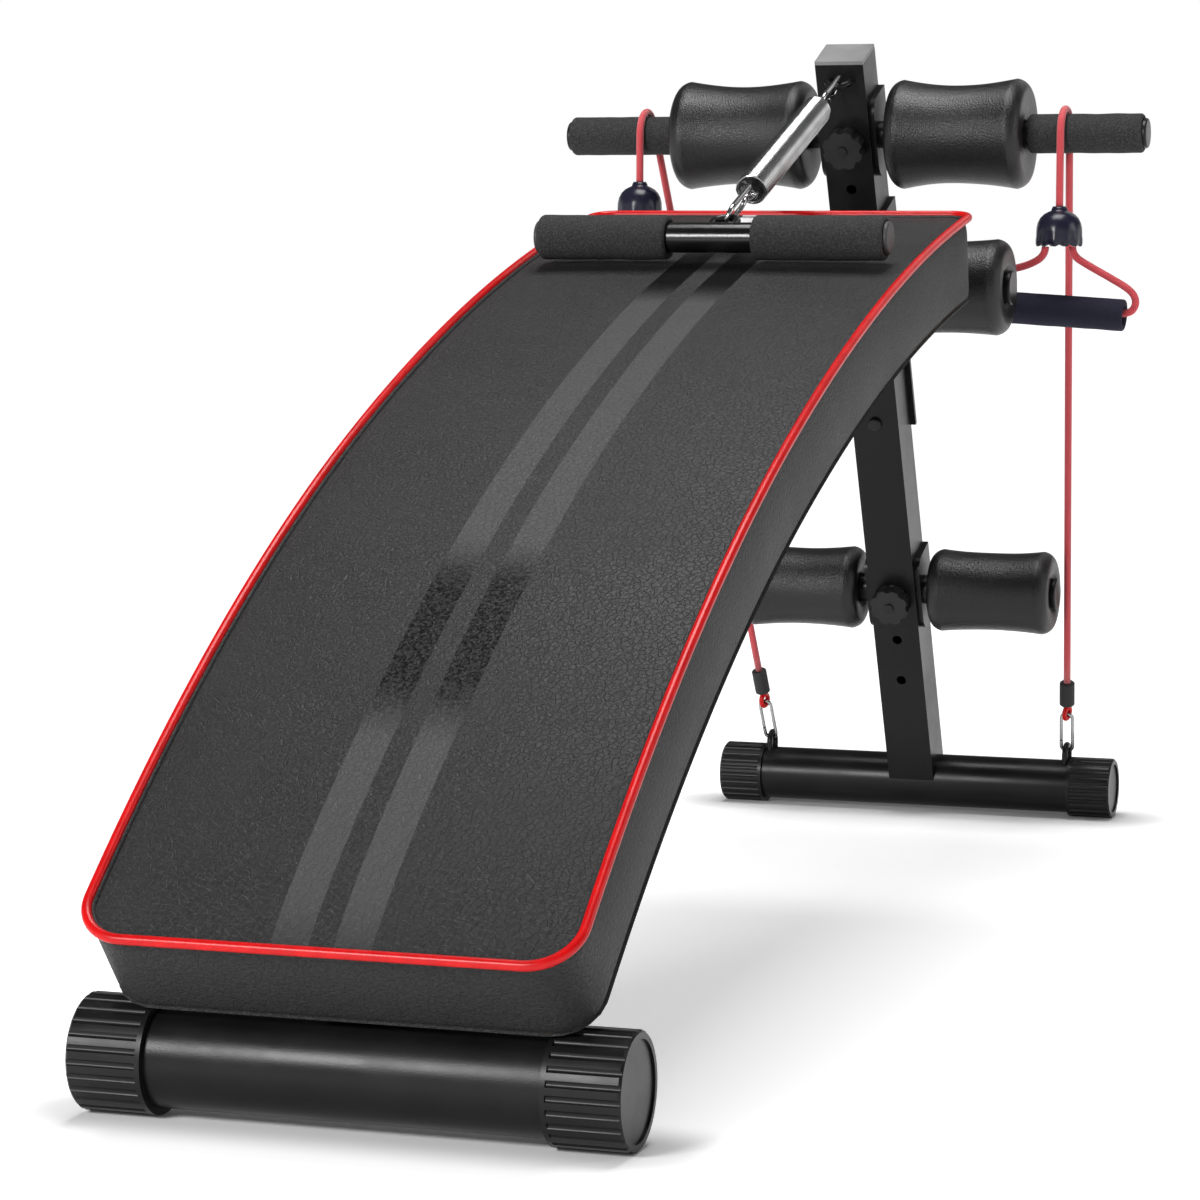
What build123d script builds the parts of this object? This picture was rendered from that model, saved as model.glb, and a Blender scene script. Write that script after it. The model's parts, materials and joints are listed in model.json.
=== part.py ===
from build123d import *
import math
import os

# Decline sit-up bench. Millimetres. X runs across the bench, Y from the low pad end
# towards the roller post, Z is up. The origin is on the floor under the middle.

# ---- Driving dimensions ----
FRONT_FOOT_Y = -637.7
REAR_FOOT_Y = 676.1
FRONT_TUBE_R = 30.0
FRONT_CAP_R = 34.5
FRONT_CAP_LENGTH = 47.0
FRONT_HALF_WIDTH = 168.0
REAR_TUBE_R = 23.0
REAR_CAP_R = 26.0
REAR_CAP_LENGTH = 38.0
REAR_HALF_WIDTH = 176.0
CAP_WALL = 4.0
CAP_FLUTES = 26
CAP_FLUTE_R = 2.4
CAP_RIM = 5.0
CAP_DISH = 1.5
TUBE_WALL = 2.0

POST_SIZE = 40.0
POST_LENGTH = 680.0
POST_LEAN = 23.3
HOLE_PITCH = 40.0
LOW_BAR_S = 192.0
TOP_BAR_S = 612.0
BOLT_R = 4.0
POST_HOLE_R = 4.2
LOCK_BOLT_S = 360.0
POST_CAP_THICKNESS = 3.0
POST_CAP_STEM = 14.0

PAD_WIDTH = 300.0
PAD_HALF_ARC = 513.5
PAD_SLOPES = (40.7, 22.9, 9.1)
PAD_FRONT = (FRONT_FOOT_Y - 62.5, 115.0)
PAD_THICKNESS = 66.0
BOARD_THICKNESS = 12.0
COVER_WALL = 4.0
PAD_FRONT_CORNER = 30.0
PAD_REAR_CORNER = 18.0
PIPING_WIDTH = 2.5
PIPING_DEPTH = 5.0

BEAM_SIZE = 40.0
BEAM_START_S = 18.0
BEAM_PAST_PAD = 245.0
TAB_THICKNESS = 4.0
TAB_HALF_LENGTH = 20.0
TAB_HALF_WIDTH = 18.0
TAB_SPOTS = (170.0, 513.5, 860.0)
SCREW_OUT = 22.0
SCREW_R = 3.0
SCREW_HEAD_R = 5.5
SCREW_HEAD = 4.0
PLATE = 4.0

BRACKET_S = (410.0, 548.0)
BRACKET_TONGUE = 70.0
BRACKET_REACH = 62.0
BRACKET_BOLT_S = (530.0, 428.0)
BOLT_HEAD_R = 7.5
BOLT_HEAD = 5.0
NUT_R = 7.0
NUT = 6.5
LOCK_HEAD_R = 5.6
LOCK_HEAD = 3.6
LOCK_NUT_R = 5.5
LOCK_NUT = 5.0

KNEE_Y = FRONT_FOOT_Y + 997.0
KNEE_Z = 466.0
KNEE_CHEEK_R = 22.0
KNEE_CHEEK_PAST_PAD = 122.0
SADDLE_HALF = 34.0
SADDLE_CORNER_R = 14.0
CARRIAGE_HEAD_R = 9.0
CARRIAGE_HEAD = 4.0
BAR_R = 12.5
BAR_WALL = 1.5
GRIP_BAR_R = 11.0
GRIP_R = 16.0
TOP_BAR_END = 243.0
PLUG_FLANGE = 3.0
PLUG_STEM = 12.0
RUNNING_GAP = 0.05
ROLLER_ROUND_R = 8.0
ROLLERS = {
    "top": (34.5, 146.0, 44.2, 39.4),
    "knee": (50.0, 148.0, 38.0, 36.0),
    "lower": (31.0, 136.5, 35.7, 33.0),
}

KNOB_R = 16.5
KNOB_THICKNESS = 14.0
KNOB_LOBES = 8
KNOB_NOTCH_R = 4.6
KNOB_NOTCH_OUT = 2.6
KNOB_HUB_R = 9.5
WASHER_R = 13.0
WASHER_THICKNESS = 2.0

EYE_S = 667.0
EYE_ROD_R = 2.75
EYE_BEND_R = 9.0
EYE_LEG = 5.0
HOOK_LENGTH = 62.0
HOOK_HALF_WIDTH = 9.0
HOOK_WIRE_R = 2.0
HOOK_ROLL = 65.0
COIL_R = 12.0
COIL_WIRE_R = 1.4
COIL_LENGTH = 194.0
COIL_LOOP_R = 6.0
LINK_GAP = 0.4
HANDLE_S = 843.0
HANDLE_GRIP_R = 16.5
HANDLE_BAR_R = 11.0
HANDLE_HALF = 130.0
HANDLE_GRIP_LENGTH = 98.0
REST_GAP = 0.3

CORD_R = 3.0
CORD_X = 176.0
REAR_EYE_X = 134.0
REAR_EYE_BEND_R = 9.0
REAR_EYE_ROD_R = 2.5
CORD_HOOK_LENGTH = 40.0
CORD_HOOK_HALF_WIDTH = 5.0
CORD_HOOK_WIRE_R = 1.5
THIMBLE_R = 5.2
THIMBLE_WIRE_R = 2.2
SLEEVE_R = 6.5
SLEEVE_LENGTH = 22.0
WRAP_GAP = 0.4
WRAP_TURNS = 4
DOME_R = 19.0
DOME_HEIGHT = 32.0
DOME_BOTTOM_Z = {1: 498.0, -1: 518.0}
FOAM_R = 13.0
FOAM_BORE_R = 8.0
FOAM_HALF = 57.0
FOAM_DROP = 51.0
FOAM_TILT = 3.4

# ---- Frames on the leaning post ----
LEAN = math.radians(POST_LEAN)
UP_POST = Vector(0, -math.sin(LEAN), math.cos(LEAN))
POST_FRONT = Vector(0, -math.cos(LEAN), -math.sin(LEAN))
POST_FOOT = Vector(0, REAR_FOOT_Y, REAR_CAP_R)
ACROSS = Vector(1, 0, 0)

# Reach of the blocks and rods that trim and drill other solids.
TRIM_SIZE = 900.0
DRILL_REACH = 60.0
# A quarter arc's middle lies this share of its radius inside the corner.
ARC_INSET = 1 - math.sqrt(0.5)


def on_post(s, out=0.0):
    """Point on the post's centre line at height s, moved out towards its front."""
    return POST_FOOT + UP_POST * s + POST_FRONT * out


def post_plane(s, out=0.0):
    """Plane whose normal faces out of the post's front and whose x runs across."""
    return Plane(origin=on_post(s, out), x_dir=ACROSS, z_dir=POST_FRONT)


# ---- The pad's curved side outline ----
def arc_rate(part):
    return math.radians(PAD_SLOPES[part] - PAD_SLOPES[part + 1]) / PAD_HALF_ARC


def arc_point(start, slope, rate, s):
    y = start[0] + (math.sin(slope) - math.sin(slope - rate * s)) / rate
    z = start[1] + (math.cos(slope - rate * s) - math.cos(slope)) / rate
    return y, z


def pad_slope(s):
    if s <= PAD_HALF_ARC:
        return math.radians(PAD_SLOPES[0]) - arc_rate(0) * s
    return math.radians(PAD_SLOPES[1]) - arc_rate(1) * (s - PAD_HALF_ARC)


def pad_point(s, depth=0.0):
    """Point at arc length s from the low end, that deep below the pad's top."""
    if s <= PAD_HALF_ARC:
        y, z = arc_point(PAD_FRONT, math.radians(PAD_SLOPES[0]), arc_rate(0), s)
    else:
        middle = arc_point(PAD_FRONT, math.radians(PAD_SLOPES[0]), arc_rate(0), PAD_HALF_ARC)
        y, z = arc_point(middle, math.radians(PAD_SLOPES[1]), arc_rate(1), s - PAD_HALF_ARC)
    slope = pad_slope(s)
    return Vector(0, y + depth * math.sin(slope), z - depth * math.cos(slope))


def pad_edges(s_from, s_to, depth):
    stops = [s_from, s_to]
    if s_from < PAD_HALF_ARC < s_to:
        stops.insert(1, PAD_HALF_ARC)
    edges = []
    for a, b in zip(stops, stops[1:]):
        ends = [pad_point(s, depth) for s in (a, (a + b) / 2, b)]
        edges.append(ThreePointArc(*ends))
    return edges


def pad_strip(s_from, s_to, depth_from, depth_to, half_width, x_mid=0.0):
    """Solid band that follows the pad's curve between two depths."""
    edges = pad_edges(s_from, s_to, depth_from) + pad_edges(s_from, s_to, depth_to)
    edges.append(Line(pad_point(s_from, depth_from), pad_point(s_from, depth_to)))
    edges.append(Line(pad_point(s_to, depth_from), pad_point(s_to, depth_to)))
    face = Face(Wire(edges))
    return Pos(x_mid, 0, 0) * extrude(face, half_width, dir=(1, 0, 0), both=True)


def round_corners(block, thickness, front_radius, rear_radius):
    """Rounds the four corner edges of a pad-shaped block as seen from above."""
    corners = [e for e in block.edges() if abs(e.length - thickness) < 0.01]
    corners.sort(key=lambda e: e.center().Y)
    block = fillet(corners[:2], front_radius)
    corners = [e for e in block.edges().filter_by(GeomType.LINE)]
    corners = [e for e in corners if abs(e.length - thickness) < 0.01]
    corners.sort(key=lambda e: e.center().Y)
    return fillet(corners[-2:], rear_radius)


# ---- Shared shapes ----
def rod(start, end, radius):
    direction = Vector(*end) - Vector(*start)
    plane = Plane(origin=start, z_dir=direction)
    return extrude(plane * Circle(radius), direction.length)


def pipe(start, end, radius, bore):
    return rod(start, end, radius) - rod(start, end, bore)


def sweep_round(path, radius):
    return sweep(Plane(origin=path @ 0, z_dir=path % 0) * Circle(radius), path)


def u_bolt(bend_radius, leg, radius):
    """U of round rod: legs start on z = 0 and the crown is at leg + bend_radius."""
    path = Wire(
        [
            Line((-bend_radius, 0, 0), (-bend_radius, 0, leg)),
            ThreePointArc(
                (-bend_radius, 0, leg), (0, 0, leg + bend_radius), (bend_radius, 0, leg)
            ),
            Line((bend_radius, 0, leg), (bend_radius, 0, 0)),
        ]
    )
    return sweep_round(path, radius)


def snap_hook(length, half_width, radius):
    """Oval snap hook along +Z from z = 0, with its gate as a second solid."""
    low = radius + half_width
    high = length - low
    gate_low = low + 0.12 * length
    gate_high = high - 0.06 * length
    path = Wire(
        [
            Line((-half_width, 0, gate_low), (-half_width, 0, low)),
            ThreePointArc((-half_width, 0, low), (0, 0, radius), (half_width, 0, low)),
            Line((half_width, 0, low), (half_width, 0, high)),
            ThreePointArc((half_width, 0, high), (0, 0, length - radius), (-half_width, 0, high)),
            Line((-half_width, 0, high), (-half_width, 0, gate_high)),
        ]
    )
    pivot = gate_low + LINK_GAP + radius
    gate = rod((-half_width, 0, pivot), (-half_width, 0, gate_high - LINK_GAP), radius)
    gate += Pos(-half_width, 0, pivot) * Sphere(radius)
    return sweep_round(path, radius), gate, Vector(-half_width, 0, pivot)


def ribbed_cap(side, radius, tube_radius, length, half_width):
    """Fluted end cap: a cup over the tube end with a dished outer face."""
    cap = rod((0, 0, 0), (length, 0, 0), radius)
    cap = chamfer(cap.edges().sort_by(Axis.X)[-1], CAP_DISH)
    cap -= rod((-1, 0, 0), (length - CAP_WALL, 0, 0), tube_radius)
    cap -= rod((length - CAP_DISH, 0, 0), (length + 1, 0, 0), radius - CAP_RIM)
    flute_z = -radius - CAP_FLUTE_R / 2
    for i in range(CAP_FLUTES):
        angle = 360 / CAP_FLUTES * (i + 0.5)
        cap -= Rot(angle, 0, 0) * rod((3, 0, flute_z), (length + 1, 0, flute_z), CAP_FLUTE_R)
    placed = Pos(half_width - length, 0, 0) * cap
    return placed if side > 0 else mirror(placed, Plane.YZ)


def foot(y, tube_radius, radius, cap_length, half_width):
    centre = (0, y, radius)
    reach = half_width - CAP_WALL
    tube = Pos(centre) * pipe((-reach, 0, 0), (reach, 0, 0), tube_radius, tube_radius - TUBE_WALL)
    caps = [
        Pos(centre) * ribbed_cap(side, radius, tube_radius, cap_length, half_width)
        for side in (-1, 1)
    ]
    return tube, caps


def group(solids, name):
    return Compound(label=name, children=list(solids))


# ---- Feet and post ----
def post_hole(s, radius=POST_HOLE_R):
    return rod(on_post(s, POST_SIZE), on_post(s, -POST_SIZE), radius)


def cross_hole(s):
    """Cross bolt's hole through the post and the bracket's cheeks."""
    return rod(on_post(s) - ACROSS * DRILL_REACH, on_post(s) + ACROSS * DRILL_REACH, POST_HOLE_R)


def post_block(half, s_from, s_to):
    plane = Plane(origin=on_post(s_from), x_dir=ACROSS, z_dir=UP_POST)
    return extrude(plane * Rectangle(2 * half, 2 * half), s_to - s_from)


def make_post():
    half = POST_SIZE / 2
    tube = post_block(half, 0, POST_LENGTH) - post_block(half - TUBE_WALL, -30, POST_LENGTH + 1)
    tube -= rod(POST_FOOT - ACROSS * DRILL_REACH, POST_FOOT + ACROSS * DRILL_REACH, REAR_TUBE_R)
    spares = [LOW_BAR_S - HOLE_PITCH, LOW_BAR_S - 2 * HOLE_PITCH, TOP_BAR_S - HOLE_PITCH]
    for s in spares + [LOW_BAR_S, TOP_BAR_S]:
        tube -= post_hole(s)
    tube -= post_hole(LOCK_BOLT_S, SCREW_R)
    for s in BRACKET_BOLT_S:
        tube -= cross_hole(s)
    return tube


def make_top_cap():
    half = POST_SIZE / 2
    cap = post_block(half, POST_LENGTH, POST_LENGTH + POST_CAP_THICKNESS)
    cap = fillet(cap.faces().sort_by(Axis.Z)[-1].edges(), 1.0)
    return cap + post_block(half - TUBE_WALL, POST_LENGTH - POST_CAP_STEM, POST_LENGTH)


# ---- Beam under the pad and its bracket on the post ----
def beam_end():
    """Arc length at which the beam's centre line has passed the post's front."""
    return 2 * PAD_HALF_ARC + BEAM_PAST_PAD


def make_beam():
    top = PAD_THICKNESS
    bottom = top + BEAM_SIZE
    half = BEAM_SIZE / 2
    beam = pad_strip(BEAM_START_S, beam_end(), top, bottom, half)
    beam -= pad_strip(
        BEAM_START_S - 5, beam_end() + 5, top + TUBE_WALL, bottom - TUBE_WALL, half - TUBE_WALL
    )
    foot_centre = Vector(0, FRONT_FOOT_Y, FRONT_CAP_R)
    beam -= rod(
        foot_centre - ACROSS * DRILL_REACH, foot_centre + ACROSS * DRILL_REACH, FRONT_TUBE_R
    )
    front = Plane(origin=on_post(0, POST_SIZE / 2), x_dir=ACROSS, z_dir=UP_POST)
    behind = front * Pos(0, TRIM_SIZE / 2, 0) * Rectangle(TRIM_SIZE, TRIM_SIZE)
    beam -= extrude(behind, TRIM_SIZE)
    return max(beam.solids(), key=lambda piece: piece.volume)


def make_bracket():
    """U bracket: a back web on the post and cheeks that reach on to the beam's sides."""
    low, high = BRACKET_S
    half = POST_SIZE / 2
    tip = half + BRACKET_REACH
    web = post_wall(low - BRACKET_TONGUE, high, -half - PLATE, -half, half + PLATE)
    cheek = post_wall(low, high, -half, tip, half + PLATE)
    cheek -= post_wall(low - 1, high + 1, -half - 1, tip + 1, half)
    ahead = post_wall(low - BRACKET_TONGUE, high + BRACKET_TONGUE, half, tip + 1, DRILL_REACH)
    ends = (beam_end() - 2 * BRACKET_TONGUE, beam_end() + DRILL_REACH)
    for depths in ((-200, PAD_THICKNESS + 1), (PAD_THICKNESS + BEAM_SIZE - 1, 400)):
        cheek -= pad_strip(*ends, *depths, DRILL_REACH) & ahead
    bracket = web + cheek - post_hole(LOCK_BOLT_S, SCREW_R)
    for s in BRACKET_BOLT_S:
        bracket -= cross_hole(s)
    return bracket


def post_wall(s_from, s_to, out_from, out_to, half_width):
    """Block along the post between two distances out of its centre line."""
    middle = (out_from + out_to) / 2
    plane = Plane(origin=on_post(s_from, middle), x_dir=ACROSS, z_dir=UP_POST)
    return extrude(plane * Rectangle(2 * half_width, out_to - out_from), s_to - s_from)


def cross_bolt(s):
    spot = on_post(s)
    half = POST_SIZE / 2 + PLATE
    bolt = rod(spot - ACROSS * (half + NUT + 1.5), spot + ACROSS * half, BOLT_R)
    head = rod(spot + ACROSS * half, spot + ACROSS * (half + BOLT_HEAD), BOLT_HEAD_R)
    nut_plane = Plane(origin=spot - ACROSS * half, z_dir=-ACROSS)
    nut = extrude(nut_plane * RegularPolygon(NUT_R, 6), NUT)
    return [bolt + fillet(head.edges().sort_by(Axis.X)[-1], 2.0), nut - bolt]


def lock_bolt():
    """Pan-head bolt through the post that holds the bracket's lower tongue."""
    half = POST_SIZE / 2
    front = on_post(LOCK_BOLT_S, half)
    back = on_post(LOCK_BOLT_S, -half - PLATE)
    shank = rod(front, back - POST_FRONT * (LOCK_NUT + 2), SCREW_R)
    head = rod(front, front + POST_FRONT * LOCK_HEAD, LOCK_HEAD_R)
    head = fillet(head.edges().group_by(Axis.Y)[0], 1.5)
    nut_plane = Plane(origin=back, z_dir=-POST_FRONT)
    nut = extrude(nut_plane * RegularPolygon(LOCK_NUT_R, 6), LOCK_NUT)
    return [shank + head, nut - shank]


def make_frame_bolts():
    pieces = []
    for s in BRACKET_BOLT_S:
        pieces += cross_bolt(s)
    return pieces + lock_bolt()


# ---- Pad ----
def make_pad():
    length = 2 * PAD_HALF_ARC
    half = PAD_WIDTH / 2
    block = pad_strip(0, length, 0, PAD_THICKNESS, half)
    block = round_corners(block, PAD_THICKNESS, PAD_FRONT_CORNER, PAD_REAR_CORNER)
    board = pad_strip(
        COVER_WALL,
        length - COVER_WALL,
        PAD_THICKNESS - BOARD_THICKNESS,
        PAD_THICKNESS,
        half - COVER_WALL,
    )
    board = round_corners(
        board, BOARD_THICKNESS, PAD_FRONT_CORNER - COVER_WALL, PAD_REAR_CORNER - COVER_WALL
    )
    band = pad_strip(-PIPING_WIDTH, length + PIPING_WIDTH, 0, PIPING_DEPTH, half + PIPING_WIDTH)
    band = round_corners(
        band, PIPING_DEPTH, PAD_FRONT_CORNER + PIPING_WIDTH, PAD_REAR_CORNER + PIPING_WIDTH
    )
    for spot in screw_spots():
        board -= spot * Cylinder(SCREW_R, 2 * BOARD_THICKNESS - 6)
    return block - board_pocket(board, length, half), board, band - block


def board_pocket(board, length, half):
    """The cushion's underside is open where the board sits."""
    pocket = pad_strip(
        COVER_WALL,
        length - COVER_WALL,
        PAD_THICKNESS - BOARD_THICKNESS,
        PAD_THICKNESS + 1,
        half - COVER_WALL,
    )
    return round_corners(
        pocket, BOARD_THICKNESS + 1, PAD_FRONT_CORNER - COVER_WALL, PAD_REAR_CORNER - COVER_WALL
    )


def screw_spots():
    """Location on the board's underside of each screw, z pointing into the board."""
    spots = []
    for s in TAB_SPOTS:
        for side in (-1, 1):
            point = pad_point(s, PAD_THICKNESS) + ACROSS * side * (BEAM_SIZE / 2 + SCREW_OUT)
            slope = pad_slope(s)
            normal = Vector(0, -math.sin(slope), math.cos(slope))
            spots.append(Plane(origin=point, x_dir=ACROSS, z_dir=normal).location)
    return spots


def make_tabs():
    """Flat ears on both sides of the beam that the board is screwed to."""
    tabs = []
    top = PAD_THICKNESS
    for s in TAB_SPOTS:
        for side in (-1, 1):
            middle = side * (BEAM_SIZE / 2 + TAB_HALF_WIDTH)
            span = (s - TAB_HALF_LENGTH, s + TAB_HALF_LENGTH)
            tab = pad_strip(*span, top, top + TAB_THICKNESS, TAB_HALF_WIDTH, middle)
            for spot in screw_spots():
                tab -= spot * Cylinder(SCREW_R + 0.3, 4 * TAB_THICKNESS)
            tabs.append(tab)
    return tabs


def make_pad_screws():
    screws = []
    for spot in screw_spots():
        shank = Pos(0, 0, 1) * Cylinder(SCREW_R, 2 * TAB_THICKNESS + 6)
        head = Pos(0, 0, -TAB_THICKNESS - SCREW_HEAD / 2 - RUNNING_GAP)
        head = head * Cylinder(SCREW_HEAD_R, SCREW_HEAD)
        head = fillet(head.edges().sort_by(Axis.Z)[0], 1.5)
        screws.append(spot * (shank + head))
    return screws


# ---- Roller bars ----
def saddle_web(s):
    """U plate round the back of the post with a cheek on each side."""
    half = POST_SIZE / 2
    low, high = s - SADDLE_HALF, s + SADDLE_HALF
    outer = post_wall(low, high, -half - PLATE, half - PLATE, half + PLATE)
    outer -= post_wall(low - 1, high + 1, -half, half, half)
    long_edges = [
        e for e in outer.edges() if abs(e.length - PLATE) < 0.01 and abs(e.center().X) > half
    ]
    outer = fillet([e for e in long_edges if is_front(e, s)], SADDLE_CORNER_R)
    return outer - post_hole(s, BOLT_R)


def is_front(edge, s):
    offset = edge.center() - on_post(s)
    return offset.dot(POST_FRONT) > 10


def make_knee_cheeks():
    """Plates on the beam's sides that carry the knee rollers above its centre line."""
    centre = Vector(0, KNEE_Y, KNEE_Z)
    cheeks = []
    for side in (-1, 1):
        inner = side * BEAM_SIZE / 2
        start = centre + ACROSS * inner
        plate = rod(start, start + ACROSS * side * PLATE, KNEE_CHEEK_R)
        s_mid = 2 * PAD_HALF_ARC + KNEE_CHEEK_PAST_PAD
        depths = (PAD_THICKNESS, PAD_THICKNESS + BEAM_SIZE - PLATE)
        band = pad_strip(s_mid - SADDLE_HALF, s_mid + SADDLE_HALF, *depths, PLATE / 2)
        plate += Pos(inner + side * PLATE / 2, 0, 0) * band
        cheeks.append(plate)
    return cheeks


def make_stub_bars(centre, end, radius):
    """A tube stub welded to each cheek, both on one axis."""
    start = POST_SIZE / 2 + PLATE
    return [
        pipe(centre + out * start, centre + out * end, radius, radius - BAR_WALL)
        for out in (-ACROSS, ACROSS)
    ]


def make_end_plug(centre, side, end, radius):
    """Plastic plug with a domed flange outside the tube and a stem inside it."""
    flange = rod((0, 0, 0), (PLUG_FLANGE, 0, 0), radius + 1)
    flange = fillet(flange.edges().sort_by(Axis.X)[-1], PLUG_FLANGE / 2)
    plug = flange + rod((-PLUG_STEM, 0, 0), (0, 0, 0), radius - BAR_WALL)
    plug = Pos(end, 0, 0) * plug
    if side < 0:
        plug = mirror(plug, Plane.YZ)
    return Pos(centre) * plug


def make_roller(name, side, centre, bore):
    """Hourglass foam roller with rounded ends."""
    inner, outer, end_radius, waist_radius = ROLLERS[name]
    middle = (inner + outer) / 2
    shoulder = end_radius - ROLLER_ROUND_R
    left, right = inner + ROLLER_ROUND_R, outer - ROLLER_ROUND_R
    inset = ROLLER_ROUND_R * ARC_INSET
    crown = end_radius - inset
    profile = Wire(
        [
            Line((inner, bore), (inner, shoulder)),
            ThreePointArc((inner, shoulder), (inner + inset, crown), (left, end_radius)),
            ThreePointArc((left, end_radius), (middle, waist_radius), (right, end_radius)),
            ThreePointArc((right, end_radius), (outer - inset, crown), (outer, shoulder)),
            Line((outer, shoulder), (outer, bore)),
            Line((outer, bore), (inner, bore)),
        ]
    )
    roller = revolve(Face(profile), Axis.X)
    if side < 0:
        roller = mirror(roller, Plane.YZ)
    return Pos(centre) * roller


def make_carriage_bolt(s):
    half = POST_SIZE / 2
    back = on_post(s, -half - PLATE)
    tip = half + WASHER_THICKNESS + KNOB_THICKNESS + 2
    head = rod(back, back - POST_FRONT * CARRIAGE_HEAD, CARRIAGE_HEAD_R)
    head = fillet(head.edges().group_by(Axis.Y)[-1], 2.5)
    return rod(back, on_post(s, tip), BOLT_R) + head


def make_knob():
    """Lobed hand nut on the z axis with its seat on z = 0."""
    knob = Pos(0, 0, KNOB_THICKNESS / 2 + 1) * Cylinder(KNOB_R, KNOB_THICKNESS - 2)
    for lobe in range(KNOB_LOBES):
        notch = Pos(KNOB_R + KNOB_NOTCH_OUT, 0, KNOB_THICKNESS / 2)
        notch = notch * Cylinder(KNOB_NOTCH_R, KNOB_THICKNESS + 2)
        knob -= Rot(0, 0, 360 / KNOB_LOBES * lobe) * notch
    knob += Pos(0, 0, KNOB_THICKNESS / 2) * Cylinder(KNOB_HUB_R, KNOB_THICKNESS)
    return knob - Cylinder(BOLT_R + RUNNING_GAP, 4 * KNOB_THICKNESS)


def make_washer():
    ring = Cylinder(WASHER_R, WASHER_THICKNESS) - Cylinder(BOLT_R + 0.2, 2 * WASHER_THICKNESS)
    return Pos(0, 0, WASHER_THICKNESS / 2) * ring


# ---- Spring and its two-hand handle ----
EYE_CROWN = on_post(EYE_S, POST_SIZE / 2 + EYE_LEG + EYE_BEND_R)
HANDLE_CENTRE = pad_point(HANDLE_S, -HANDLE_GRIP_R - REST_GAP)
PULL = (HANDLE_CENTRE - EYE_CROWN).normalized()


def chain_plane(start, direction, roll):
    """Plane at start with z along the chain and x rolled away from across the bench."""
    angle = math.radians(roll)
    x_dir = ACROSS * math.cos(angle) + direction.cross(ACROSS) * math.sin(angle)
    return Plane(origin=start, x_dir=x_dir, z_dir=direction)


def chain_stations():
    """Distances from the post's eye along the chain at which each link starts."""
    top_hook = -(EYE_ROD_R + LINK_GAP + 2 * HOOK_WIRE_R)
    top_loop = top_hook + HOOK_LENGTH - 2 * HOOK_WIRE_R - LINK_GAP - COIL_WIRE_R
    coil = top_loop + 2 * COIL_LOOP_R
    low_loop = coil + COIL_LENGTH + 2 * COIL_LOOP_R
    low_hook = low_loop - COIL_WIRE_R - LINK_GAP - 2 * HOOK_WIRE_R
    crown = low_hook + HOOK_LENGTH - 2 * HOOK_WIRE_R - LINK_GAP - EYE_ROD_R
    return {"top_hook": top_hook, "coil": coil, "low_hook": low_hook, "crown": crown}


def spring_hook(station, roll):
    plane = chain_plane(EYE_CROWN + PULL * station, PULL, roll)
    body, gate, pivot = snap_hook(HOOK_LENGTH, HOOK_HALF_WIDTH, HOOK_WIRE_R)
    place = plane.location
    return place * body, place * gate, plane, plane.from_local_coords(pivot)


def make_spring():
    """Close-wound extension spring drawn as a tube with an end loop at each end."""
    wire = 2 * COIL_WIRE_R
    coil = Cylinder(COIL_R, COIL_LENGTH) - Cylinder(COIL_R - wire, COIL_LENGTH - 2 * wire)
    coil -= Pos(0, COIL_LOOP_R, 0) * Cylinder(COIL_WIRE_R, COIL_LENGTH + 2)
    coil = Pos(0, 0, COIL_LENGTH / 2) * coil
    for end, side in ((0, -1), (COIL_LENGTH, 1)):
        loop = Rot(90, 0, 0) * Torus(COIL_LOOP_R, COIL_WIRE_R)
        coil += Pos(0, 0, end + side * COIL_LOOP_R) * loop
    start = EYE_CROWN + PULL * chain_stations()["coil"]
    return chain_plane(start, PULL, 0).location * coil


def make_handle_bar():
    """Cross bar with an eye on the side that faces the spring."""
    left, right = (HANDLE_CENTRE + ACROSS * side * HANDLE_HALF for side in (-1, 1))
    bar = pipe(left, right, HANDLE_BAR_R, HANDLE_BAR_R - BAR_WALL)
    reach = (HANDLE_CENTRE - EYE_CROWN).length - chain_stations()["crown"]
    leg_start = HANDLE_BAR_R - 0.8
    eye = u_bolt(EYE_BEND_R, reach - leg_start - EYE_BEND_R, EYE_ROD_R)
    plane = Plane(origin=HANDLE_CENTRE - PULL * leg_start, x_dir=ACROSS, z_dir=-PULL)
    return bar + plane.location * eye


def make_handle_grips():
    grips = []
    for side in (-1, 1):
        start = HANDLE_CENTRE + ACROSS * side * (HANDLE_HALF - HANDLE_GRIP_LENGTH)
        end = HANDLE_CENTRE + ACROSS * side * HANDLE_HALF
        grips.append(pipe(start, end, HANDLE_GRIP_R, HANDLE_BAR_R))
    return grips


# ---- Cords ----
def top_bar_centre():
    return on_post(TOP_BAR_S)


def rear_eye_centre(side):
    """Centre of the eye's bend, just above the foot tube."""
    return Vector(side * REAR_EYE_X, REAR_FOOT_Y, 2 * REAR_CAP_R + 1.5)


def wrap_corners(side):
    """Corners of the route round the top bar, from its back over to its front."""
    radius = GRIP_R + CORD_R + WRAP_GAP
    bar = top_bar_centre()
    eye = rear_eye_centre(side)
    distance = math.hypot(bar.Y - eye.Y, bar.Z - eye.Z)
    heading = math.atan2(bar.Z - eye.Z, bar.Y - eye.Y) - math.asin(radius / distance)
    back_angle = heading - math.pi / 2
    step = (math.pi - back_angle) / WRAP_TURNS
    reach = radius / math.cos(step / 2)
    corners = []
    for i in range(WRAP_TURNS):
        angle = back_angle + step * (i + 0.5)
        y = bar.Y + reach * math.cos(angle)
        z = bar.Z + reach * math.sin(angle)
        corners.append(Vector(side * CORD_X, y, z))
    return corners


def anchor_line(side):
    """The crown of the rear eye that the hook pulls on, and the way it pulls."""
    centre = rear_eye_centre(side)
    direction = (wrap_corners(side)[0] - centre).normalized()
    return centre + direction * REAR_EYE_BEND_R, direction


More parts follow.
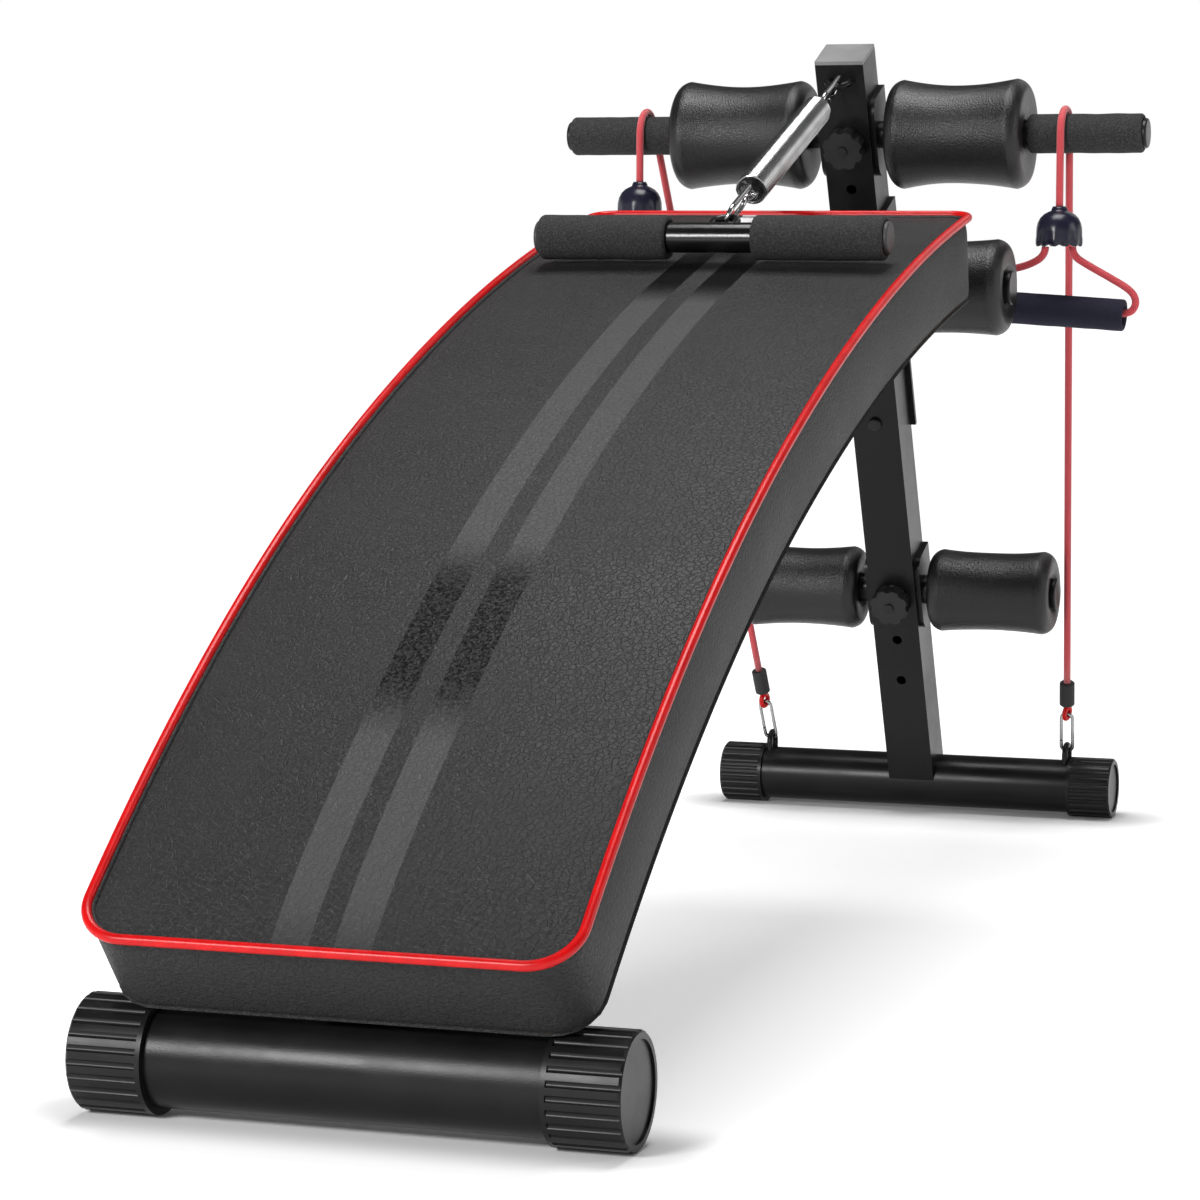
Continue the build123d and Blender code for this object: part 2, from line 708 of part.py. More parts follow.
def sleeve_start():
    ring = CORD_HOOK_LENGTH - 2 * CORD_HOOK_WIRE_R - LINK_GAP - THIMBLE_WIRE_R
    ring -= REAR_EYE_ROD_R + LINK_GAP + 2 * CORD_HOOK_WIRE_R
    return ring, ring + 2 * THIMBLE_R + THIMBLE_WIRE_R + 0.8


def cord_route(side):
    """Sleeve, up the back, round the top bar in even turns, down to the dome."""
    crown, direction = anchor_line(side)
    corners = wrap_corners(side)
    start = crown + direction * (sleeve_start()[1] + SLEEVE_LENGTH)
    end = dome_base(side) + Vector(0, 0, DOME_HEIGHT)
    radius = 0.97 * (GRIP_R + CORD_R + WRAP_GAP)
    return [start, *corners, end], [radius] * WRAP_TURNS


def dome_base(side):
    return Vector(
        side * CORD_X,
        top_bar_centre().Y - GRIP_R - CORD_R - WRAP_GAP,
        DOME_BOTTOM_Z[side],
    )


HALF_LOOP = ((11, 0), (11, -7), (24, -15), (43, -22), (61, -31), (66, -40), (62, -49), (49, -50))


def handle_cord_route(side):
    """Out of the dome, down to one end of the grip, through it and back up."""
    right = [Vector(x, 0, z) for x, z in HALF_LOOP]
    left = [Vector(-x, 0, z) for x, z in HALF_LOOP]
    route = []
    for point in right + left[::-1]:
        turned = point.rotate(Axis.Y, side * FOAM_TILT) if point.Z < -15 else point
        route.append(dome_base(side) + turned)
    return route


def corner_radii(points, smallest):
    radii = []
    for a, b, c in zip(points, points[1:], points[2:]):
        turn = math.radians((b - a).get_angle(c - b))
        shorter = min((b - a).length, (c - b).length)
        radii.append(max(smallest, 0.45 * shorter / math.tan(turn / 2)))
    return radii


def cord_tube(name, points, radii):
    path = FilletPolyline(*points, radius=radii)
    tube = sweep_round(path, CORD_R)
    section = math.pi * CORD_R**2 * path.length
    print(name, "length", round(path.length, 1), "volume ratio", round(tube.volume / section, 4))
    print(name, "radii", [round(r, 1) for r in radii])
    return tube


def make_dome(side):
    """Bell-shaped cord stop with a nub on top."""
    profile = Wire(
        [
            Line((0, 0), (DOME_R, 0)),
            Line((DOME_R, 0), (DOME_R, 14)),
            ThreePointArc((DOME_R, 14), (15.0, 23.6), (6, 28)),
            Line((6, 28), (5, DOME_HEIGHT)),
            Line((5, DOME_HEIGHT), (0, DOME_HEIGHT)),
            Line((0, DOME_HEIGHT), (0, 0)),
        ]
    )
    dome = revolve(Plane.XZ * Face(profile), Axis.Z)
    return Pos(dome_base(side)) * dome


def make_foam_grip(side):
    centre = dome_base(side) + Vector(0, 0, -FOAM_DROP).rotate(Axis.Y, side * FOAM_TILT)
    along = ACROSS.rotate(Axis.Y, side * FOAM_TILT)
    return pipe(centre - along * FOAM_HALF, centre + along * FOAM_HALF, FOAM_R, FOAM_BORE_R)


def make_cord_anchor(side):
    """Snap hook, its gate, the cord's end ring and the crimp sleeve at the rear eye."""
    eye, direction = anchor_line(side)
    hook_start = -(REAR_EYE_ROD_R + LINK_GAP + 2 * CORD_HOOK_WIRE_R)
    plane = chain_plane(eye + direction * hook_start, direction, 0)
    body, gate, pivot = snap_hook(CORD_HOOK_LENGTH, CORD_HOOK_HALF_WIDTH, CORD_HOOK_WIRE_R)
    ring_low, sleeve_low = sleeve_start()
    ring_plane = chain_plane(eye + direction * (ring_low + THIMBLE_R), direction, 75)
    ring = Rot(90, 0, 0) * Torus(THIMBLE_R, THIMBLE_WIRE_R)
    ring += rod((0, 0, THIMBLE_R), (0, 0, sleeve_low - ring_low - THIMBLE_R), 3.2)
    sleeve = rod(
        eye + direction * sleeve_low, eye + direction * (sleeve_low + SLEEVE_LENGTH), SLEEVE_R
    )
    sleeve = chamfer(sleeve.edges().filter_by(GeomType.CIRCLE), 0.8)
    return {
        "hook": plane.location * body,
        "gate": plane.location * gate,
        "pivot": plane.from_local_coords(pivot),
        "plane": plane,
        "ring": ring_plane.location * ring,
        "sleeve": sleeve,
    }


def make_rear_eye(side):
    """Upright U of rod in the foot tube's top, set along the bench."""
    base = 2 * REAR_CAP_R - 3 - 2.5
    leg = rear_eye_centre(side).Z - base
    eye = Rot(0, 0, 90) * u_bolt(REAR_EYE_BEND_R, leg, REAR_EYE_ROD_R)
    return Pos(side * REAR_EYE_X, REAR_FOOT_Y, base) * eye


SIDES = {"left": -1, "right": 1}


def build():
    nodes = {}
    tube, caps = foot(FRONT_FOOT_Y, FRONT_TUBE_R, FRONT_CAP_R, FRONT_CAP_LENGTH, FRONT_HALF_WIDTH)
    nodes["front_foot_tube"] = tube
    nodes["front_foot_caps"] = group(caps, "front_foot_caps")
    tube, caps = foot(REAR_FOOT_Y, REAR_TUBE_R, REAR_CAP_R, REAR_CAP_LENGTH, REAR_HALF_WIDTH)
    eyes = [make_rear_eye(side) for side in SIDES.values()]
    for eye in eyes:
        tube -= eye
    nodes["rear_foot_tube"] = max(tube.solids(), key=lambda piece: piece.volume)
    nodes["rear_foot_caps"] = group(caps, "rear_foot_caps")
    nodes["rear_cord_eyes"] = group(eyes, "rear_cord_eyes")

    nodes["post_tube"] = make_post()
    nodes["post_top_cap"] = make_top_cap()
    eye = u_bolt(EYE_BEND_R, EYE_LEG, EYE_ROD_R)
    nodes["post_spring_eye"] = post_plane(EYE_S, POST_SIZE / 2).location * eye
    nodes["main_beam"] = make_beam()
    nodes["beam_bracket"] = make_bracket()
    nodes["frame_bolts"] = group(make_frame_bolts(), "frame_bolts")
    nodes["pad_cushion"], nodes["pad_board"], nodes["pad_piping"] = make_pad()
    nodes["pad_tabs"] = group(make_tabs(), "pad_tabs")
    nodes["pad_screws"] = group(make_pad_screws(), "pad_screws")

    centres = {
        "top": on_post(TOP_BAR_S),
        "knee": Vector(0, KNEE_Y, KNEE_Z),
        "lower": on_post(LOW_BAR_S),
    }
    plugs = []
    for name, centre in centres.items():
        top = name == "top"
        radius = GRIP_BAR_R if top else BAR_R
        end = TOP_BAR_END - PLUG_FLANGE if top else ROLLERS[name][1] + 0.5
        nodes[name + "_bars"] = group(make_stub_bars(centre, end, radius), name + "_bars")
        for label, side in SIDES.items():
            node = name + "_roller_" + label
            nodes[node] = make_roller(name, side, centre, radius + RUNNING_GAP)
            plugs.append(make_end_plug(centre, side, end, radius))
    nodes["bar_end_plugs"] = group(plugs, "bar_end_plugs")
    grip_start = ROLLERS["top"][1] + 0.8
    grips = [
        pipe(
            centres["top"] + ACROSS * side * grip_start,
            centres["top"] + ACROSS * side * (TOP_BAR_END - PLUG_FLANGE - 0.2),
            GRIP_R,
            GRIP_BAR_R,
        )
        for side in SIDES.values()
    ]
    nodes["top_grips"] = group(grips, "top_grips")
    nodes["knee_cheeks"] = group(make_knee_cheeks(), "knee_cheeks")
    for name, s in (("top", TOP_BAR_S), ("lower", LOW_BAR_S)):
        nodes[name + "_saddle"] = saddle_web(s)
        nodes[name + "_bolt"] = make_carriage_bolt(s)
        seat = post_plane(s, POST_SIZE / 2)
        nodes[name + "_knob_washer"] = seat.location * make_washer()
        seat = post_plane(s, POST_SIZE / 2 + WASHER_THICKNESS)
        nodes[name + "_knob"] = seat.location * make_knob()

    stations = chain_stations()
    for name, link in (("top_snap_hook", "top_hook"), ("lower_snap_hook", "low_hook")):
        body, gate, _, _ = spring_hook(stations[link], HOOK_ROLL)
        nodes[name] = body
        nodes[name + "_gate"] = gate
    nodes["tension_spring"] = make_spring()
    nodes["handle_bar"] = make_handle_bar()
    nodes["handle_grips"] = group(make_handle_grips(), "handle_grips")
    ends = [make_end_plug(HANDLE_CENTRE, side, HANDLE_HALF, HANDLE_BAR_R) for side in (-1, 1)]
    nodes["handle_end_plugs"] = group(ends, "handle_end_plugs")

    rings, sleeves = [], []
    for label, side in SIDES.items():
        anchor = make_cord_anchor(side)
        nodes["cord_hook_" + label] = anchor["hook"]
        nodes["cord_hook_gate_" + label] = anchor["gate"]
        rings.append(anchor["ring"])
        sleeves.append(anchor["sleeve"])
        points, radii = cord_route(side)
        nodes["cord_" + label] = cord_tube("cord_" + label, points, radii)
        nodes["cord_dome_" + label] = make_dome(side)
        points = handle_cord_route(side)
        radii = corner_radii(points, CORD_R * 2)
        name = "handle_cord_" + label
        nodes[name] = cord_tube(name, points, radii)
        nodes["cord_grip_" + label] = make_foam_grip(side)
    nodes["cord_end_rings"] = group(rings, "cord_end_rings")
    nodes["cord_sleeves"] = group(sleeves, "cord_sleeves")
    return nodes


def main():
    os.makedirs("parts", exist_ok=True)
    nodes = build()
    for name, shape in nodes.items():
        export_step(shape, f"parts/{name}.step")
    boxes = [shape.bounding_box() for shape in nodes.values()]
    low = min(box.min.Y for box in boxes)
    high = max(box.max.Y for box in boxes)
    print("nodes", len(nodes), "middle in Y", round((low + high) / 2, 3))


if __name__ == "__main__":
    main()
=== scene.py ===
import json
import math

import bpy
import numpy as np
from mathutils import Matrix, Vector, noise


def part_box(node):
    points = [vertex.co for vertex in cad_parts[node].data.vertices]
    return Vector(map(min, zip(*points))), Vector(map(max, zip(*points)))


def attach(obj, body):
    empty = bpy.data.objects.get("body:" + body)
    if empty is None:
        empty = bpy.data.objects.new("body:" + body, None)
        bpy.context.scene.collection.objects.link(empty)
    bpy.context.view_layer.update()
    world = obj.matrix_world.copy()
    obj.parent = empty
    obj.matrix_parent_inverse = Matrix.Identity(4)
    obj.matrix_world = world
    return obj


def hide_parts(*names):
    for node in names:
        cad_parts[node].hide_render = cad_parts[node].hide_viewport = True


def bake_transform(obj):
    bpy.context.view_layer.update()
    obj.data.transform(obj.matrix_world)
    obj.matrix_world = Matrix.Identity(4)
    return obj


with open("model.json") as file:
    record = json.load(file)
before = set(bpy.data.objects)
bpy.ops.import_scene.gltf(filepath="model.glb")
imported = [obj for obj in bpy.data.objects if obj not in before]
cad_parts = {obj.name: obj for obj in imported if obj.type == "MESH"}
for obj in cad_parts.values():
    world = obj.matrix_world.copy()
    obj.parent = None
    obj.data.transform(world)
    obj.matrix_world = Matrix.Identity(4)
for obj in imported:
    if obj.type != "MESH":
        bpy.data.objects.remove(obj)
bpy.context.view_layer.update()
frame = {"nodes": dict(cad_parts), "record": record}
nodes = frame["nodes"]

SIDES = {"left": -1, "right": 1}

# Sizes shared with the CAD model, in metres.
FRONT_FOOT_Y = -0.6377
REAR_FOOT_Y = 0.6761
PAD_HALF_ARC = 0.5135
PAD_LENGTH = 2 * PAD_HALF_ARC
PAD_SLOPES = (40.7, 22.9, 9.1)
PAD_FRONT = (FRONT_FOOT_Y - 0.0625, 0.115)
PAD_HALF_WIDTH = 0.150
PAD_FRONT_CORNER = 0.030
PAD_REAR_CORNER = 0.018
PIPING_R = 0.0031
CORD_R = 0.003


# ---------------------------------------------------------------- materials
class Nodes:
    """Small helper that adds shader nodes and links them in one call."""

    def __init__(self, name):
        self.material = bpy.data.materials.new(name)
        self.material.use_nodes = True
        self.tree = self.material.node_tree
        self.bsdf = self.tree.nodes["Principled BSDF"]
        self.coords = self.add("ShaderNodeTexCoord").outputs["Object"]

    def put(self, socket, value):
        """Links a socket, or sets a plain value, on an input."""
        if isinstance(value, bpy.types.NodeSocket):
            self.tree.links.new(value, socket)
        else:
            socket.default_value = value

    def add(self, kind, settings=None, **inputs):
        node = self.tree.nodes.new(kind)
        for key, value in (settings or {}).items():
            setattr(node, key, value)
        for key, value in inputs.items():
            self.put(node.inputs[key.replace("_", " ")], value)
        return node

    def noise(self, scale, detail=4.0, rough=0.6, vector=None):
        vector = vector or self.coords
        node = self.add(
            "ShaderNodeTexNoise", Scale=scale, Detail=detail, Roughness=rough, Vector=vector
        )
        return node.outputs["Fac"]

    def voronoi(self, scale, feature="F1", vector=None):
        vector = vector or self.coords
        node = self.add(
            "ShaderNodeTexVoronoi", {"feature": feature}, Scale=scale, Vector=vector
        )
        return node.outputs["Distance"]

    def math(self, operation, *values):
        node = self.add("ShaderNodeMath", {"operation": operation})
        for socket, value in zip(node.inputs, values):
            self.put(socket, value)
        return node.outputs[0]

    def spread(self, value, low, high, to_low=0.0, to_high=1.0):
        """Smooth step of value, from to_low at low to to_high at high."""
        node = self.add("ShaderNodeMapRange", {"interpolation_type": "SMOOTHSTEP"})
        for socket, v in zip(node.inputs, (value, low, high, to_low, to_high)):
            self.put(socket, v)
        return node.outputs[0]

    def blend(self, fac, a, b):
        """Colour a where fac is 0 and b where it is 1."""
        node = self.add("ShaderNodeMix", {"data_type": "RGBA"})
        for index, value in ((0, fac), (6, a), (7, b)):
            self.put(node.inputs[index], value)
        return node.outputs[2]

    def bump(self, height, distance, strength=1.0, normal=None):
        node = self.add("ShaderNodeBump", Height=height, Distance=distance, Strength=strength)
        if normal is not None:
            self.put(node.inputs["Normal"], normal)
        return node.outputs["Normal"]

    def axes(self):
        """X, Y and Z of the object's own coordinates."""
        return self.add("ShaderNodeSeparateXYZ", Vector=self.coords).outputs

    def shade(self, **inputs):
        for key, value in inputs.items():
            self.put(self.bsdf.inputs[key.replace("_", " ")], value)
        return self.material


def grey(value, tint=0.0):
    """A grey, bluer by tint."""
    return (value, value, value * (1 + tint), 1.0)


def painted_metal(name, base, rough, shine=0.3):
    """Powder coat: fine orange peel, with dusty patches that are duller and lighter."""
    n = Nodes(name)
    peel = n.noise(900.0, 2.0)
    cloud = n.spread(n.noise(14.0, 5.0), 0.35, 0.7)
    colour = n.blend(cloud, grey(base), grey(base * 1.7, 0.04))
    roughness = n.math("ADD", n.math("MULTIPLY", cloud, 0.10), rough)
    normal = n.bump(peel, 0.00012, 0.5)
    return n.shade(
        Base_Color=colour, Roughness=roughness, Normal=normal, Specular_IOR_Level=shine
    )


def moulded_plastic(name, base, rough, tint=0.0, shine=0.3):
    """Injection-moulded plastic: spark-eroded grain and faint flow marks."""
    n = Nodes(name)
    grain = n.noise(2200.0, 3.0)
    flow = n.spread(n.noise(30.0, 3.0), 0.3, 0.7)
    colour = n.blend(flow, grey(base, tint), grey(base * 1.35, tint))
    roughness = n.math("ADD", n.math("MULTIPLY", flow, 0.08), rough)
    return n.shade(
        Base_Color=colour,
        Roughness=roughness,
        Normal=n.bump(grain, 0.0001, 0.35),
        Specular_IOR_Level=shine,
    )


def foam_skin(name, base, rough, pore, depth, tint=0.0, shine=0.3):
    """Closed-cell foam: pores on a soft, slightly uneven skin."""
    n = Nodes(name)
    pores = n.voronoi(pore)
    lumps = n.noise(45.0, 3.0)
    fine = n.noise(pore * 0.8, 3.0)
    speck = n.spread(fine, 0.42, 0.66)
    colour = n.blend(speck, grey(base * 0.65, tint), grey(base * 1.8, tint))
    first = n.bump(lumps, 0.0012, 0.35)
    second = n.bump(n.math("ADD", pores, fine), depth, 0.7, first)
    roughness = n.math("ADD", n.math("MULTIPLY", speck, 0.12), rough)
    return n.shade(
        Base_Color=colour, Roughness=roughness, Normal=second, Specular_IOR_Level=shine
    )


def metal(name, base, rough, grain=0.05):
    """Plated steel with faint polishing streaks and finger marks."""
    n = Nodes(name)
    mapping = n.add("ShaderNodeMapping", Vector=n.coords, Scale=(1.0, 1.0, 12.0))
    streak = n.noise(260.0, 4.0, vector=mapping.outputs["Vector"])
    smudge = n.spread(n.noise(60.0, 2.0), 0.4, 0.7)
    colour = n.blend(smudge, grey(base), grey(base * 0.86))
    roughness = n.math("ADD", n.math("MULTIPLY", smudge, grain), rough)
    return n.shade(
        Base_Color=colour, Metallic=1.0, Roughness=roughness, Normal=n.bump(streak, 0.00005, 0.3)
    )


LEATHER_WARP = 0.004
STRIPE_X = 0.019
STRIPE_HALF = 0.0115
STRIPE_EDGE = 0.0004
# Stretches along Y, in metres, where the stripes are matt grey, speckled or black, and where they
# are near-white as a painted highlight.
MATT_STRIPES = ((-0.69, -0.545), (-0.42, -0.03))
DARK_STRIPES = ((-0.545, -0.42),)
BLACK_STRIPES = ((-0.03, 0.085),)
HIGHLIGHT_STRIPES = ((0.15, 0.228),)
STRIPE_FADE = 0.055


def cover_leather():
    """Pebbled artificial leather, with twin generic stripes printed along its top; their
    near-white stretch is a painted highlight.
    """
    n = Nodes("cover_leather")
    warp = n.noise(55.0, 3.0)
    bent = n.add("ShaderNodeVectorMath", {"operation": "MULTIPLY_ADD"})
    for socket, value in zip(bent.inputs, (warp, (LEATHER_WARP,) * 3, n.coords)):
        n.put(socket, value)
    pebbles = n.voronoi(520.0, "SMOOTH_F1", vector=bent.outputs[0])
    creases = n.voronoi(230.0, "DISTANCE_TO_EDGE", vector=bent.outputs[0])
    crease = n.spread(creases, 0.0, 0.10)
    fine = n.noise(1500.0, 3.0)
    patch = n.spread(n.noise(9.0, 4.0), 0.3, 0.75)

    x, y, _ = n.axes()
    across = n.math("ABSOLUTE", n.math("SUBTRACT", n.math("ABSOLUTE", x), STRIPE_X))
    stripe = n.spread(across, STRIPE_HALF + STRIPE_EDGE, STRIPE_HALF - STRIPE_EDGE)
    stripe = n.math("MULTIPLY", stripe, n.spread(geometry_up(n), 0.45, 0.6))
    matt = n.math("MULTIPLY", stripe, stripe_band(n, y, MATT_STRIPES))
    # The stripes' near-white stretch is a painted highlight, not print.
    stripe_highlight = n.math("MULTIPLY", stripe, stripe_band(n, y, HIGHLIGHT_STRIPES))
    speckle = n.spread(n.noise(420.0, 3.0), 0.40, 0.60, 0.25, 0.95)
    dark = n.math("MULTIPLY", stripe_band(n, y, DARK_STRIPES), speckle)
    black = n.math("MAXIMUM", stripe_band(n, y, BLACK_STRIPES), dark)
    black = n.math("MULTIPLY", stripe, black)

    colour = n.blend(patch, grey(0.013, 0.05), grey(0.020, 0.04))
    colour = n.blend(n.spread(pebbles, 0.1, 0.7), colour, grey(0.024, 0.04))
    colour = n.blend(n.math("MULTIPLY", matt, 0.8), colour, grey(0.060))
    # Painted highlight: the stripes turn near-white in that stretch.
    colour = n.blend(stripe_highlight, colour, grey(0.75))
    colour = n.blend(n.math("MULTIPLY", black, 0.93), colour, grey(0.003))
    roughness = n.math("ADD", n.math("MULTIPLY", patch, 0.08), 0.50)
    roughness = n.math("SUBTRACT", roughness, n.math("MULTIPLY", black, 0.04))
    height = n.math("ADD", n.math("MULTIPLY", pebbles, -0.8), n.math("MULTIPLY", crease, 0.55))
    first = n.bump(height, 0.00055, 0.85)
    second = n.bump(fine, 0.00010, 0.5, first)
    shine = n.math("SUBTRACT", 0.20, n.math("MULTIPLY", black, 0.17))
    return n.shade(
        Base_Color=colour, Roughness=roughness, Normal=second, Specular_IOR_Level=shine
    )


def stripe_band(n, y, stretches):
    """1 in the stretches along Y and 0 elsewhere, with a soft fade at each end."""
    total = 0.0
    for low, high in stretches:
        begun = n.spread(y, low - STRIPE_FADE / 2, low + STRIPE_FADE / 2)
        ended = n.spread(y, high + STRIPE_FADE / 2, high - STRIPE_FADE / 2)
        total = n.math("ADD", total, n.math("MULTIPLY", begun, ended))
    return total


def geometry_up(n):
    """1 where the surface faces straight up."""
    normal = n.add("ShaderNodeNewGeometry").outputs["Normal"]
    return n.add("ShaderNodeSeparateXYZ", Vector=normal).outputs["Z"]


def welt(name):
    """Glossy vinyl welt with a faint skin texture."""
    n = Nodes(name)
    tone = n.spread(n.noise(60.0, 3.0), 0.3, 0.7)
    colour = n.blend(tone, (0.44, 0.002, 0.003, 1), (0.55, 0.004, 0.005, 1))
    normal = n.bump(n.noise(1400.0, 3.0), 0.0001, 0.5)
    return n.shade(
        Base_Color=colour, Roughness=0.30, Normal=normal, Specular_IOR_Level=0.25
    )


BRAID_STRANDS = 8.0
BRAID_PER_METRE = 420.0


def braid(name):
    """Braided elastic sleeve: two crossing sets of strands in tube coordinates, with painted
    shade between the strands.
    """
    n = Nodes(name)
    uv = n.add("ShaderNodeTexCoord").outputs["UV"]
    along, around, _ = n.add("ShaderNodeSeparateXYZ", Vector=uv).outputs
    strands = []
    for turn in (BRAID_STRANDS, -BRAID_STRANDS):
        phase = n.math("MULTIPLY_ADD", around, turn, n.math("MULTIPLY", along, BRAID_PER_METRE))
        strands.append(n.math("SINE", n.math("MULTIPLY", phase, 2 * math.pi)))
    weave = n.spread(n.math("MAXIMUM", *strands), -0.2, 1.0)
    # Darker red where the weave is low, in the gaps between the strands, is painted shade.
    colour = n.blend(weave, (0.30, 0.010, 0.018, 1), (0.66, 0.050, 0.065, 1))
    fuzz = n.noise(2500.0, 2.0)
    normal = n.bump(n.math("ADD", weave, n.math("MULTIPLY", fuzz, 0.3)), 0.00035, 0.8)
    return n.shade(Base_Color=colour, Roughness=0.62, Normal=normal, Sheen_Weight=0.3)


def plywood(name):
    """Birch plywood with its grain along the board."""
    n = Nodes(name)
    mapping = n.add("ShaderNodeMapping", Vector=n.coords, Scale=(18.0, 1.0, 1.0))
    grain = n.noise(9.0, 6.0, 0.7, mapping.outputs["Vector"])
    colour = n.blend(n.spread(grain, 0.3, 0.7), (0.20, 0.12, 0.06, 1), (0.40, 0.27, 0.15, 1))
    return n.shade(Base_Color=colour, Roughness=0.75, Normal=n.bump(grain, 0.0002, 0.5))


MATERIALS = {
    "black_paint": painted_metal("black_paint", 0.004, 0.28, 0.22),
    "gloss_paint": painted_metal("gloss_paint", 0.004, 0.16, 0.35),
    "cap_plastic": moulded_plastic("cap_plastic", 0.005, 0.30, 0.0, 0.24),
    "grey_plastic": moulded_plastic("grey_plastic", 0.16, 0.38),
    "plug_plastic": moulded_plastic("plug_plastic", 0.030, 0.42),
    "knob_plastic": moulded_plastic("knob_plastic", 0.014, 0.40, 0.0, 0.25),
    "dome_plastic": moulded_plastic("dome_plastic", 0.008, 0.20, 1.2),
    "black_leather": cover_leather(),
    "red_piping": welt("red_piping"),
    "plywood": plywood("plywood"),
    "steel": metal("steel", 0.62, 0.30),
    "black_steel": painted_metal("black_steel", 0.008, 0.34, 0.25),
    "chrome": metal("chrome", 0.44, 0.20),
    "grip_foam": foam_skin("grip_foam", 0.024, 0.86, 1000.0, 0.0005),
    "cord_grip_foam": foam_skin("cord_grip_foam", 0.010, 0.80, 2200.0, 0.0002, 1.4),
    "red_cord": braid("red_cord"),
    "red_ring": welt("red_ring"),
    "sleeve_rubber": foam_skin("sleeve_rubber", 0.022, 0.6, 3000.0, 0.0001),
    "roller_foam": foam_skin("roller_foam", 0.0040, 0.34, 900.0, 0.00030, 0.0, 0.42),
}


def dress(obj, slot):
    """Gives a mesh the one material of that name."""
    obj.data.materials.clear()
    obj.data.materials.append(MATERIALS[slot])


for entry in frame["record"]["subparts"]:
    dress(nodes[entry["node"]], entry["material_slot"])
dress(nodes["handle_end_plugs"], "plug_plastic")
SLOT_OF = {entry["node"]: entry["material_slot"] for entry in frame["record"]["subparts"]}


def stand_in(obj, node):
    """obj takes over from a CAD node: it gets the node's material, and the node is hidden."""
    dress(obj, SLOT_OF[node])
    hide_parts(node)
    return obj


# ---------------------------------------------------------------- mesh helpers
def new_mesh(name, vertices, faces, smooth=True):
    mesh = bpy.data.meshes.new(name)
    mesh.from_pydata([tuple(v) for v in vertices], [], faces)
    mesh.update()
    obj = bpy.data.objects.new(name, mesh)
    bpy.context.scene.collection.objects.link(obj)
    if smooth:
        mesh.polygons.foreach_set("use_smooth", [True] * len(mesh.polygons))
    return obj


def tube(name, points, radius, sides=20, closed=False, uv=False):
    """Mesh tube along points, with turn-free frames and, if asked, tube UVs."""
    points = [Vector(p) for p in points]
    count = len(points)
    rings, lengths = [], [0.0]
    side = None
    for i, p in enumerate(points):
        before = points[i - 1] if i or closed else p
        after = points[(i + 1) % count] if i + 1 < count or closed else p
        tangent = (after - before).normalized()
        if side is None:
            side = tangent.orthogonal().normalized()
        side = (side - tangent * side.dot(tangent)).normalized()
        up = tangent.cross(side)
        ring = []
        for k in range(sides):
            angle = 2 * math.pi * k / sides
            ring.append(p + (side * math.cos(angle) + up * math.sin(angle)) * radius)
        rings.append(ring)
        if i:
            lengths.append(lengths[-1] + (p - points[i - 1]).length)
    vertices = [v for ring in rings for v in ring]
    faces = []
    for i in range(count if closed else count - 1):
        j = (i + 1) % count
        for k in range(sides):
            m = (k + 1) % sides
            faces.append((i * sides + k, i * sides + m, j * sides + m, j * sides + k))
    if not closed:
        faces.append(tuple(range(sides))[::-1])
        faces.append(tuple(range((count - 1) * sides, count * sides)))
    obj = new_mesh(name, vertices, faces)
    if uv:
        layer = obj.data.uv_layers.new(name="tube")
        for face in obj.data.polygons:
            for loop in face.loop_indices:
                index = obj.data.loops[loop].vertex_index
                ring, k = divmod(index, sides)
                wrap = k / sides
                if k == 0 and any(
                    obj.data.loops[m].vertex_index % sides == sides - 1
                    for m in face.loop_indices
                ):
                    wrap = 1.0
                layer.data[loop].uv = (lengths[ring], wrap)
    return obj


def lathe(name, profile, segments=72):
    """Closed surface of revolution about X from (x, radius) points in a ring."""
    vertices, faces = [], []
    count = len(profile)
    for x, r in profile:
        for k in range(segments):
            angle = 2 * math.pi * k / segments
            vertices.append((x, r * math.cos(angle), r * math.sin(angle)))
    for i in range(count):
        j = (i + 1) % count
        for k in range(segments):
            m = (k + 1) % segments
            faces.append((i * segments + k, j * segments + k, j * segments + m, i * segments + m))
    return new_mesh(name, vertices, faces)


def spline_points(name, route):
    """Points read from the NURBS spline whose control points are the route."""
    curve = bpy.data.curves.new(name, "CURVE")
    curve.dimensions = "3D"
    curve.resolution_u = 24
    spline = curve.splines.new("NURBS")
    spline.points.add(len(route) - 1)
    for point, place in zip(spline.points, route):
        point.co = (*place, 1.0)
    spline.order_u = 3
    spline.use_endpoint_u = True
    obj = bpy.data.objects.new(name, curve)
    bpy.context.scene.collection.objects.link(obj)
    mesh = bpy.data.meshes.new_from_object(obj)
    points = [v.co.copy() for v in mesh.vertices]
    bpy.data.objects.remove(obj)
    return points


# ---------------------------------------------------------------- the pad's curve
def arc_rate(part):
    """Turn per metre, in radians, of the lower (0) or upper (1) half of the pad."""
    return math.radians(PAD_SLOPES[part] - PAD_SLOPES[part + 1]) / PAD_HALF_ARC


def arc_point(start, slope, rate, s):
    """The (y, z) reached after length s of an arc that starts at that slope."""
    y = start[0] + (math.sin(slope) - math.sin(slope - rate * s)) / rate
    z = start[1] + (math.cos(slope - rate * s) - math.cos(slope)) / rate
    return y, z


def pad_point(x, s, depth):
    """A point of the pad: across, along its arc from the low end, and down into it."""
    slopes = [math.radians(slope) for slope in PAD_SLOPES]
    start, part, past = PAD_FRONT, 0, s
    if s > PAD_HALF_ARC:
        start = arc_point(PAD_FRONT, slopes[0], arc_rate(0), PAD_HALF_ARC)
        part, past = 1, s - PAD_HALF_ARC
    y, z = arc_point(start, slopes[part], arc_rate(part), past)
    slope = slopes[part] - arc_rate(part) * past
    return Vector((x, y + depth * math.sin(slope), z - depth * math.cos(slope)))


